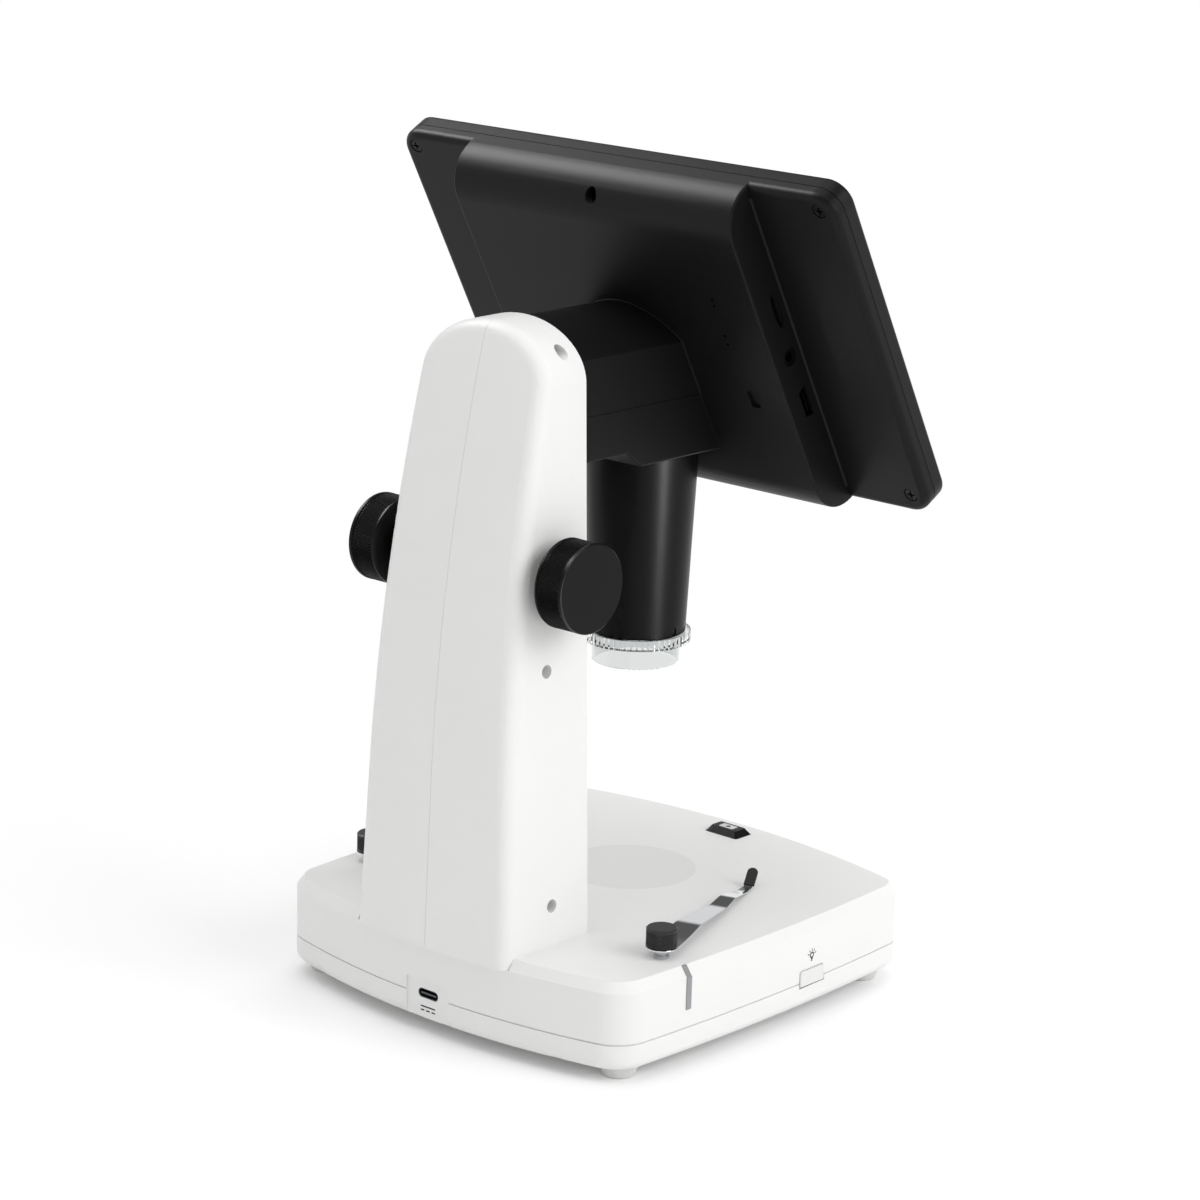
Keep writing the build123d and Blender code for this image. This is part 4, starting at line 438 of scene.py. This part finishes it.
# The same ABS as the shells, from a smoother tool.
button_abs = finished("satin_button_abs", "#E4E4E3", 0.36, grain=0.4, relief=0.004, drift=0.01)
coat_nodes(button_abs, "lamp_button")
# Gloss black ABS: the cap of the stage button, wiped clean, with a soft highlight.
gloss_abs = finished("gloss_black_abs", "#121213", 0.22, grain=0.6, relief=0.002, drift=0.04, shine=0.35)
coat_nodes(gloss_abs, "stage_button")
# Pale ink for marks on black: matt and even.
white_ink = finished("light_grey_pad_ink", "#D4D4D4", 0.55, grain=0.3, relief=0.002, drift=0.04,
                     drift_size=2.0)


def rounded(x, y, width, height, corner):
    """Points of a rectangle with round corners."""
    line = []
    for k, (a, b) in enumerate(((1, 1), (-1, 1), (-1, -1), (1, -1))):
        for step in range(5):
            turn = math.radians(90 * k + 22.5 * step)
            line.append((x + a * (width / 2 - corner) + corner * math.cos(turn),
                         y + b * (height / 2 - corner) + corner * math.sin(turn)))
    return line


# A take-a-picture mark on the stage button: a plate with a round eye
button_y, button_top = -69.3, 35.92
printed("picture_mark", [rounded(0, 0, 6.2, 3.5, 0.7), circle(0, 0, 0.85)],
        lambda x, y: (x, button_y + y, button_top), white_ink, "stage_button")

wall_x, wall_bow, ink_proud = 78.2, 850, 0.04
lamp_button_y = -19.4


def on_left_wall(y, z):
    """A point on the base's bowed left wall, a hair proud."""
    return (wall_bow - math.sqrt(wall_bow ** 2 - y ** 2) - wall_x - ink_proud, y, z)


# A small bulb over the lamp button: globe, socket and five rays
lamp_mark_z, ray_place = 21.9, 1.85
bulb_rays = [stroke(ray_place * math.cos(math.radians(turn)), ray_place * math.sin(math.radians(turn)),
                    0.9, 0.3, turn) for turn in (15, 52, 90, 128, 165)]
printed("lamp_mark",
        [circle(0, 0, 1.1, 18), circle(0, 0, 0.62, 18), stroke(0, -1.3, 0.9, 0.4), stroke(0, -1.85, 0.7, 0.4)]
        + bulb_rays,
        lambda x, y: on_left_wall(lamp_button_y - x, lamp_mark_z + y), grey_ink_and_painted_shadow, "stand")
# Painted shadow: a dark strip of ink along the lower and front edges of the button's opening, so the gap
# there shows as a dark line of shade
painted_shadow_z = 11.66
printed("lamp_button_gap",
        [[(-6.3, -0.14), (7.15, -0.14), (7.15, 2.4), (6.85, 2.4), (6.85, 0.14), (-6.3, 0.14)]],
        lambda x, y: on_left_wall(lamp_button_y - x, painted_shadow_z + y), grey_ink_and_painted_shadow, "stand")


# ---------------------------------------------------------------- column
# Two half shells of the same white ABS meet on the middle line. Inside, two
# ground steel rods in cast brackets guide the head, and a black shutter
# behind the slot hides them.
coat_nodes(white_abs, "column_left_shell", "column_right_shell")
# Steel under black oxide: dark, with a dull metal shine.
dark_steel = finished("blackened_steel", "#2A2A2C", 0.4, grain=0.3, relief=0.01, metallic=1.0)
coat_nodes(dark_steel, "tube_set_screw")
# Shell screws, deep in bores of the left wall: the place of each one's head, and its length
column_screws = ((-25.9, 59.5, 47.1, 32.3), (-23.0, 61.3, 124.8, 29.4), (-15.1, 49.2, 224.2, 21.5))
for number, (x, y, z, length) in enumerate(column_screws, start=1):
    piece = placed(f"column_screw_{number}", cross_screw(2.1, 1.6, 1.15, length), [(x, y, z)],
                   (0, -math.pi / 2, 0), plated_steel, "stand")
    if number == 1:
        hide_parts("column_screws")
# Ground and polished bar: bright and nearly mirror smooth.
ground_steel = finished("ground_steel", "#C4C6C9", 0.16, grain=0.2, relief=0.002, metallic=1.0)
coat_nodes(ground_steel, "guide_rods", "focus_shaft")
# Die cast and left bare: soft grey with a grainy skin.
cast_aluminium = finished("cast_aluminium", "#B4B6B8", 0.45, grain=0.8, relief=0.03, drift=0.05, metallic=1.0)
coat_nodes(cast_aluminium, "guide_brackets", "carriage", "wheel_retainer")
# Sintered and oiled: brown-gold and dull.
bronze = finished("sintered_bronze", "#A87B4C", 0.45, grain=0.3, relief=0.01, drift=0.06, metallic=1.0)
coat_nodes(bronze, "shaft_bushes", "carriage_bushes")
# ABS from a spark-eroded tool: an even near-black with a soft sheen.
black_abs = finished("textured_black_abs", "#141415", 0.42, grain=0.5, relief=0.012, drift=0.05, shine=0.14)
coat_nodes(black_abs, "slot_shutter")


# ---------------------------------------------------------------- focus drive
# A knurled black knob on each end of a steel shaft turns a brass pinion on a
# rack, which lifts and lowers the head.
# Turned brass: warm yellow with fine tool marks.
brass = finished("turned_brass", "#C9A15A", 0.3, grain=0.3, relief=0.005, metallic=1.0)
coat_nodes(brass, "pinion", "rack")
# Bead-blasted aluminium, anodised black: a soft dark grey, even over flat faces.
anodised = finished("black_anodised_aluminium", "#0C0C0D", 0.36, grain=0.25, relief=0.004, drift=0.05,
                    shine=0.13)
# Turned through the anodising: a thin edge of bare metal.
cut_edge = finished("bare_cut_aluminium", "#4C4D4F", 0.35, grain=0.2, relief=0.002, metallic=1.0)

# Diamond knurling: pyramids in staggered rows round the rim, their feet touching
knurling, sizes = pattern("diamond_knurling", Radius="Float", Width="Float", Height="Float",
                          Around="Int", Rows="Int")
index = add(knurling, "GeometryNodeInputIndex").outputs[0]
row = add(knurling, "ShaderNodeMath", {0: index, 1: sizes["Rows"]}, operation="MODULO").outputs[0]
column = add(knurling, "ShaderNodeMath", {0: index, 1: sizes["Rows"]}, operation="DIVIDE").outputs[0]
column = add(knurling, "ShaderNodeMath", {0: column}, operation="FLOOR").outputs[0]
odd = add(knurling, "ShaderNodeMath", {0: row, 1: 2.0}, operation="MODULO").outputs[0]
column = add(knurling, "ShaderNodeMath", {0: odd, 1: 0.5, 2: column}, operation="MULTIPLY_ADD").outputs[0]
angle = add(knurling, "ShaderNodeMath", {0: 2 * math.pi, 1: sizes["Around"]}, operation="DIVIDE").outputs[0]
half_foot = add(knurling, "ShaderNodeMath", {0: angle, 1: sizes["Radius"]}, operation="MULTIPLY").outputs[0]
half_foot = add(knurling, "ShaderNodeMath", {0: half_foot, 1: 0.5}, operation="MULTIPLY").outputs[0]
angle = add(knurling, "ShaderNodeMath", {0: angle, 1: column}, operation="MULTIPLY").outputs[0]
gaps = add(knurling, "ShaderNodeMath", {0: sizes["Rows"], 1: 1.0}, operation="ADD").outputs[0]
step = add(knurling, "ShaderNodeMath", {0: sizes["Width"], 1: gaps}, operation="DIVIDE").outputs[0]
along = add(knurling, "ShaderNodeMath", {0: row, 1: 1.0}, operation="ADD").outputs[0]
along = add(knurling, "ShaderNodeMath", {0: along, 1: step}, operation="MULTIPLY").outputs[0]
across = add(knurling, "ShaderNodeMath", {0: angle}, operation="COSINE").outputs[0]
across = add(knurling, "ShaderNodeMath", {0: across, 1: sizes["Radius"]}, operation="MULTIPLY").outputs[0]
over = add(knurling, "ShaderNodeMath", {0: angle}, operation="SINE").outputs[0]
over = add(knurling, "ShaderNodeMath", {0: over, 1: sizes["Radius"]}, operation="MULTIPLY").outputs[0]
site = add(knurling, "ShaderNodeCombineXYZ", {0: across, 1: over, 2: along}).outputs[0]
count = add(knurling, "ShaderNodeMath", {0: sizes["Around"], 1: sizes["Rows"]},
            operation="MULTIPLY").outputs[0]
sites = add(knurling, "GeometryNodePoints", {"Count": count, "Position": site}).outputs[0]
tooth = add(knurling, "GeometryNodeMeshCone", {
    "Vertices": 4, "Radius Top": 0.0, "Radius Bottom": 1.0, "Depth": 1.0}).outputs[0]
facing = add(knurling, "ShaderNodeCombineXYZ", {0: 0.0, 1: math.pi / 2, 2: angle}).outputs[0]
foot_size = add(knurling, "ShaderNodeCombineXYZ", {0: step, 1: half_foot, 2: sizes["Height"]}).outputs[0]
teeth = add(knurling, "GeometryNodeInstanceOnPoints", {
    "Points": sites, "Instance": tooth, "Rotation": facing, "Scale": foot_size}).outputs[0]
teeth = add(knurling, "GeometryNodeRealizeInstances", {0: teeth}).outputs[0]
teeth = add(knurling, "GeometryNodeSetMaterial", {
    "Geometry": teeth, "Material": sizes["Material"]}).outputs[0]
add(knurling, "NodeGroupOutput", {0: teeth})


def knurled_knob(name, materials, profile, band, radius, depth, around, rows, place, body, replaced):
    """A knob turned about its axis, its band cut with diamonds; a second material is its edge's."""
    skin = materials[0]
    rim = object_from(name + "_rim", turned(profile, 96), skin)
    if len(materials) > 1:
        rim.data.materials.append(materials[1])
        top = max(height for _, height in profile) * mm
        for face in rim.data.polygons:
            if 0.3 < face.normal.z < 0.95 and face.center.z > top - 0.5 * mm:
                face.material_index = 1
    low, high = band
    teeth = made_by(knurling, name + "_knurl", Radius=(radius - depth) * mm, Width=(high - low) * mm,
                    Height=depth * mm, Around=around, Rows=rows, Material=skin)
    teeth.transform(Matrix.Translation((0, 0, low * mm)))
    bm = bmesh.new()
    bm.from_mesh(teeth)
    bm.from_mesh(rim.data)
    whole = bpy.data.meshes.new(name)
    bm.to_mesh(whole)
    bm.free()
    bpy.data.objects.remove(rim)
    for material in materials:
        whole.materials.append(material)
    whole.set_sharp_from_angle(angle=sharp_bend)
    whole.transform(place)
    piece_from(name, whole, body, replaced)


# Focus knobs: a hub towards the column, a knurled rim, a flat face with a cut edge
knob_line = [(0, 31.7), (7.0, 31.7), (7.0, 34.6), (13.6, 34.6), (14.1, 34.9), (14.45, 35.3), (14.45, 35.9),
             (14.05, 36.1), (14.05, 45.0), (14.45, 45.2), (14.45, 46.15), (14.2, 46.4), (0, 46.4)]
knob_radius, knurl_depth, knurl_band = 14.45, 0.4, (36.05, 45.05)
axle = Vector((0, 58.9, 154.3)) * mm
for side, name in ((-1, "left"), (1, "right")):
    knurled_knob(f"knurled_focus_knob_{name}", (anodised, cut_edge), knob_line, knurl_band, knob_radius,
                 knurl_depth, 104, 11, Matrix.Translation(axle) @ Matrix.Rotation(side * math.pi / 2, 4, "Y"),
                 "focus_drive", f"focus_knob_{name}")


# ---------------------------------------------------------------- screen and arm
# A black ABS housing for the seven-inch screen, with the arm that carries it
# moulded on, a cover under the arm and a bezel round the glass.
coat_nodes(black_abs, "screen_rear_shell", "arm_lower_cover")
# The bezel's tool is a little finer, so that its edges are crisper and greyer.
bezel_abs = finished("satin_black_bezel_abs", "#18181A", 0.36, grain=0.5, relief=0.006, drift=0.04,
                     shine=0.15)
coat_nodes(bezel_abs, "screen_bezel")
coat_nodes(green_board, "key_board", "main_board", "sensor_board")
# Float glass with a hard coat: nearly clear, so the dark panel shows under it.
screen_glass, tree = new_material("hard_coated_glass")
clear = add(tree, "ShaderNodeBsdfPrincipled", {
    "Base Color": linear("#E9EDEC"), "Roughness": 0.03, "IOR": 1.5, "Transmission Weight": 1.0})
add(tree, "ShaderNodeOutputMaterial", {"Surface": clear.outputs[0]})
coat_nodes(screen_glass, "screen_window")
# An unlit liquid-crystal panel under its polariser: blue-black and smooth.
coat_nodes(finished("dark_liquid_crystal_panel", "#0B0C10", 0.3, grain=0.2, shine=0.3), "display_panel")
# Key caps of ABS, shinier than the bezel where fingers polish them.
key_abs = finished("satin_black_key_abs", "#1D1D1F", 0.38, grain=0.4, relief=0.01, shine=0.35)
coat_nodes(key_abs, "key_1", "key_2", "key_3", "key_4", "key_5")
coat_nodes(socket_steel, "card_socket")
# Black PBT of a jack socket: dull and very dark.
coat_nodes(finished("black_jack_body", "#0B0B0B", 0.5, grain=0.5, relief=0.01, shine=0.1), "av_jack")
coat_nodes(dark_steel, "hdmi_socket")

screen_tilt = math.radians(28.94)
screen_y, screen_z = -27.96, 224.27         # centre of the seam plane


def on_screen(x, y, depth):
    """A point by its place across and up the screen and its depth behind the seam, in mm."""
    return (-x, screen_y + y * math.sin(screen_tilt) + depth * math.cos(screen_tilt),
            screen_z + y * math.cos(screen_tilt) - depth * math.sin(screen_tilt))


# Copper lip of the picture socket, bent from bright sheet: one long edge and the
# slanted end of its mouth show. Its points are up the screen and behind the seam.
copper = finished("bright_copper_lip", "#E0B08A", 0.3, grain=0.3, relief=0.002, metallic=1.0)
bulge_wall = 59.1                           # from the middle
printed("picture_socket_lip",
        [[(-14.2, 11.35), (-14.2, 11.0), (-22.5, 11.0), (-23.35, 10.3), (-23.35, 9.2), (-23.7, 9.2),
          (-23.7, 10.45), (-22.65, 11.35)]],
        lambda up_screen, deep: on_screen(bulge_wall + 0.03, up_screen, deep), copper, "head")
# A small inside round where the housing's side walls meet the wings; it catches a line of light
round_low, round_high, round_radius, wing_back = -57.0, 58.0, 0.9, 4.75
turns = [math.radians(turn) for turn in range(0, 91, 15)]
section = [(round_radius * (1 - math.cos(turn)), round_radius * (1 - math.sin(turn))) for turn in turns]
section.append((0.0, 0.0))
bm = bmesh.new()
for side in (-1, 1):
    low, high = [[bm.verts.new(Vector(on_screen(side * (bulge_wall + out), end, wing_back + deep)) * mm)
                  for out, deep in section] for end in (round_low, round_high)]
    for k in range(len(section)):
        bm.faces.new((low[k], low[k - 1], high[k - 1], high[k]))
    bm.faces.new(low)
    bm.faces.new(high)
foot_rounds = object_from("housing_foot_rounds", bm, black_abs)
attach(foot_rounds, "head")
# Corner screws, countersunk in the wings
corner_x, corner_high, corner_low, corner_depth = 86.0, 56.95, -55.05, 4.6
placed("corner_screws", cross_screw(2.4, 1.2, 0.95, 6.2),
       [on_screen(x, y, corner_depth) for x in (-corner_x, corner_x) for y in (corner_high, corner_low)],
       (-(math.pi / 2 + screen_tilt), 0, 0), dark_steel, "head", "screen_corner_screws")
# Clamp screws, up through the cover into the neck
clamp_x, clamp_y, clamp_z = 10.5, 30.0, 186.6
placed("clamp_screws", cross_screw(2.8, 1.0, 1.25, 30.0),
       [(x, clamp_y, clamp_z) for x in (-clamp_x, clamp_x)],
       (math.pi, 0, 0), dark_steel, "head", "arm_screws")

# Key marks, from the user's left: power, left, menu, right, and a round enter
key_pitch, key_row, key_face = 17.0, -50.55, -6.32
key_marks = {
    5: [rounded(0, 0, 2.6, 2.6, 1.29), rounded(0, 0, 2.0, 2.0, 0.99), stroke(0, 1.75, 0.34, 1.3)],
    4: [[(1.0, 1.2), (-1.2, 0), (1.0, -1.2)]],
    3: [stroke(0, y, 2.8, 0.42) for y in (1.0, 0, -1.0)],
    2: [[(-1.0, 1.2), (1.2, 0), (-1.0, -1.2)]],
    1: [circle(0, 0, 1.35, 28), circle(0, 0, 1.0, 28)]}
for number, lines in key_marks.items():
    key_x = (number - 3) * key_pitch
    printed(f"key_mark_{number}", lines, lambda x, y: on_screen(key_x - x, key_row + y, key_face), white_ink,
            f"key_{number}")


# ---------------------------------------------------------------- camera
# A black anodised tube with the focus wheel in its window, and a clear nose
# cap with a toothed ring under it.
# Anodised over a finer turned skin than the knobs': darker, with a tighter highlight.
tube_skin = finished("polished_black_anodising", "#060607", 0.33, grain=0.25, relief=0.004, drift=0.05,
                     shine=0.13)
coat_nodes(tube_skin, "camera_tube")
# The tall strip lights the tube alone, which keeps it off the deck
tube_only = bpy.data.collections.new("lit_by_tall_side_strip")
tube_only.objects.link(nodes["camera_tube"])
tube_strip.light_linking.receiver_collection = tube_only
# Moulded ABS with ribs for the finger: black, shinier than the tube.
coat_nodes(finished("ribbed_black_wheel", "#1A1A1B", 0.45, grain=0.4, relief=0.01, shine=0.35), "focus_wheel")
# Blackened brass and a coated lens: near black, the lens with a blue cast.
coat_nodes(finished("black_lens_barrel", "#101011", 0.4, metallic=0.3), "lens_barrel")
coat_nodes(finished("coated_lens", "#101528", 0.04), "objective_lens")
# Clear moulded acrylic: a faint grey where it is thick.
acrylic, tree = new_material("clear_acrylic")
clear = add(tree, "ShaderNodeBsdfPrincipled", {
    "Base Color": linear("#DFE1E1"), "Roughness": 0.05, "IOR": 1.49, "Transmission Weight": 1.0})
add(tree, "ShaderNodeOutputMaterial", {"Surface": clear.outputs[0]})
coat_nodes(acrylic, "nose_cap")

# Lamps of the ring light: a dome of pale yellow phosphor on each, by a ring tree
ring_light, sizes = pattern("lamps_in_a_ring", Lamp="Object", Radius="Float", Lamps="Int", Start="Float")
ring = add(ring_light, "GeometryNodeMeshCircle", {"Vertices": sizes["Lamps"], "Radius": sizes["Radius"]})
turn = add(ring_light, "ShaderNodeCombineXYZ", {2: sizes["Start"]})
ring = add(ring_light, "GeometryNodeTransform", {"Geometry": ring.outputs[0], "Rotation": turn.outputs[0]})
lamp = add(ring_light, "GeometryNodeObjectInfo", {"Object": sizes["Lamp"], "As Instance": True})
lamps = add(ring_light, "GeometryNodeInstanceOnPoints", {
    "Points": ring.outputs[0], "Instance": lamp.outputs["Geometry"]})
lamps = add(ring_light, "GeometryNodeRealizeInstances", {0: lamps.outputs[0]})
lamps = add(ring_light, "GeometryNodeSetMaterial", {
    "Geometry": lamps.outputs[0], "Material": sizes["Material"]})
add(ring_light, "NodeGroupOutput", {0: lamps.outputs[0]})
# Phosphor in silicone: pale yellow and dull.
phosphor = finished("lamp_phosphor_silicone", "#E6D68C", 0.45, grain=0.2, relief=0.004, drift=0.05,
                    drift_size=1.0)
tube_y, lamp_z, ring_radius, lamp_count = -16.5, 121.3, 11.0, 8
dome = object_from("one_dome", turned([
    (0, -0.35), (0.55, -0.28), (0.95, -0.08), (1.05, 0.12), (0, 0.12)], 16))
domes = made_by(ring_light, "ring_light_domes", Lamp=dome, Radius=ring_radius * mm, Lamps=lamp_count,
                Start=math.pi / lamp_count, Material=phosphor)
bpy.data.objects.remove(dome)
domes.transform(Matrix.Translation(Vector((0, tube_y, lamp_z)) * mm))
piece_from("ring_light_domes", domes, "head")


# ---------------------------------------------------------------- stage clips
# Polished spring-steel strips with black rubber sleeves at the tips, each on a
# post, held by a small knurled thumb knob.
# Polished spring steel: a mirror that the room shows in.
chrome = finished("polished_spring_steel", "#DCDDDF", 0.07, grain=0.3, drift=0.02, metallic=1.0)
# Dipped black rubber: dull, dark grey in the light.
sleeve_rubber = finished("black_sleeve_rubber", "#2B2B2C", 0.75, grain=0.4, relief=0.02, shine=0.3)
post_x, post_y, deck_z = 65.0, 42.1, 33.8
strip_aim = math.radians(72.6)              # from the X axis towards the user
strip_height, strip_thickness = 3.5, 0.5
# Half widths of the strip at its eye, where its tip is bent, and at its end
eye_radius, waist, tip_radius, blunt = 5.2, 2.75, 1.55, 0.2
# Millimetres along it from the post: end of the long taper, of the short one, of the straight tip, and of all
waist_place, taper_end, tip_round, strip_end = 55, 73, 79.3, 80.8
# The side line of a strip: millimetres along it from the post, and its slope there in degrees
bends = [(-eye_radius, 0), (6, 0), (20, 5), (23, -5), (46, -5), (49, 6), (54, 6), (57, -10), (67, -10),
         (69, 0), (73.0, 0), (74.8, 50), (80.9, 50)]


def side_line(place):
    """How far out and how high the strip's middle is, and its slope, some mm along it."""
    out, high, along, slope = -eye_radius, strip_height, -eye_radius, 0.0
    while along < place:
        (start, low), (end, steep) = [pair for pair in zip(bends, bends[1:]) if along < pair[1][0]][0]
        slope = math.radians(low + (steep - low) * (along - start) / (end - start))
        step = min(0.25, place - along)
        out, high, along = out + step * math.cos(slope), high + step * math.sin(slope), along + step
    return out, high, slope


def half_width(place):
    """Half the strip's width: a round eye on the post, two tapers, and a round tip."""
    if place < 0:
        return math.sqrt(max(eye_radius ** 2 - place ** 2, blunt ** 2))
    if place < waist_place:
        return eye_radius - (eye_radius - waist) * place / waist_place
    if place < taper_end:
        return waist - (waist - tip_radius) * (place - waist_place) / (taper_end - waist_place)
    return math.sqrt(max(tip_radius ** 2 - max(place - tip_round, 0) ** 2, blunt ** 2))


def clip_piece(name, side, places, grown, bevel, material, body, replaced):
    """A run of the strip through some places, grown all round, its long edges taken off by a bevel."""
    bm = bmesh.new()
    rings = []
    for place in places:
        out, high, slope = side_line(min(place, strip_end))
        half = half_width(place) + grown
        deep = strip_thickness / 2 + grown
        ring = []
        for across, lift in ((half, bevel - deep), (half, deep - bevel), (half - bevel, deep),
                             (bevel - half, deep), (-half, deep - bevel), (-half, bevel - deep),
                             (bevel - half, -deep), (half - bevel, -deep)):
            run = out - lift * math.sin(slope)
            x = -post_x + run * math.cos(strip_aim) + across * math.sin(strip_aim)
            y = post_y - run * math.sin(strip_aim) + across * math.cos(strip_aim)
            ring.append(bm.verts.new((-side * x * mm, y * mm, (deck_z + high + lift * math.cos(slope)) * mm)))
        rings.append(ring)
    for near, far in zip(rings, rings[1:]):
        for k in range(len(near)):
            bm.faces.new((near[k], near[k - 1], far[k - 1], far[k]))
    bm.faces.new(rings[0])
    bm.faces.new(rings[-1])
    piece = object_from(name, bm, material)
    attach(piece, body)
    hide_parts(replaced)


eye = [-eye_radius * math.cos(math.radians(turn)) for turn in range(0, 90, 8)]
straight = [1.2 * k for k in range(66)]
tip = [tip_round + tip_radius * math.sin(math.radians(turn)) for turn in range(0, 91, 10)]
sleeve = [74.6 + 0.5 * k for k in range(9)]
for side, name in ((-1, "left"), (1, "right")):
    clip_piece(f"sprung_strip_{name}", side, eye + straight + tip, 0.0, 0.1, chrome,
               f"clip_{name}", f"clip_strip_{name}")
    clip_piece(f"rubber_sleeve_{name}", side, sleeve + tip, 0.3, 0.3, sleeve_rubber,
               f"clip_{name}", f"clip_tip_{name}")
# Posts: turned and plated, with a groove under the strip and a stud for the thumb knob
post = object_from("one_post", turned([
    (0, -4.2), (2.65, -4.2), (2.65, -2.6), (1.45, -2.6), (1.45, 0.0), (2.65, 0.0), (2.65, 0.9), (2.5, 1.05),
    (2.1, 1.1), (2.1, 1.7), (2.5, 1.75), (2.65, 1.9), (2.65, 3.0), (2.45, 3.2), (1.45, 3.2), (1.45, 9.2),
    (1.2, 9.6), (0, 9.6)], 40))
placed("grooved_clip_posts", post, [(x, post_y, deck_z) for x in (-post_x, post_x)], (0, 0, 0),
       plated_steel, "stand", "clip_posts")

# Thumb knobs: small moulded caps with a knurled skirt and a plain flat top, of
# glass-filled black ABS that is greyer and shinier than the housing's.
thumb_abs = finished("glass_filled_black_abs", "#303031", 0.4, grain=0.4, relief=0.006, drift=0.04, shine=0.3)
thumb_line = [(1.6, 0.0), (4.6, 0.0), (5.1, 0.5), (5.1, 0.75), (4.8, 0.85), (4.8, 5.45), (5.1, 5.55),
              (5.1, 5.95), (4.65, 6.4), (0, 6.4), (0, 6.3), (1.6, 6.2), (1.6, 0.0)]
thumb_radius, thumb_depth, thumb_band, thumb_seat = 5.1, 0.3, (0.8, 5.5), 37.6
for x, name in ((-post_x, "left"), (post_x, "right")):
    knurled_knob(f"knurled_thumb_knob_{name}", (thumb_abs,), thumb_line, thumb_band, thumb_radius,
                 thumb_depth, 38, 7, Matrix.Translation(Vector((x, post_y, thumb_seat)) * mm),
                 f"thumb_{name}", f"thumb_knob_{name}")
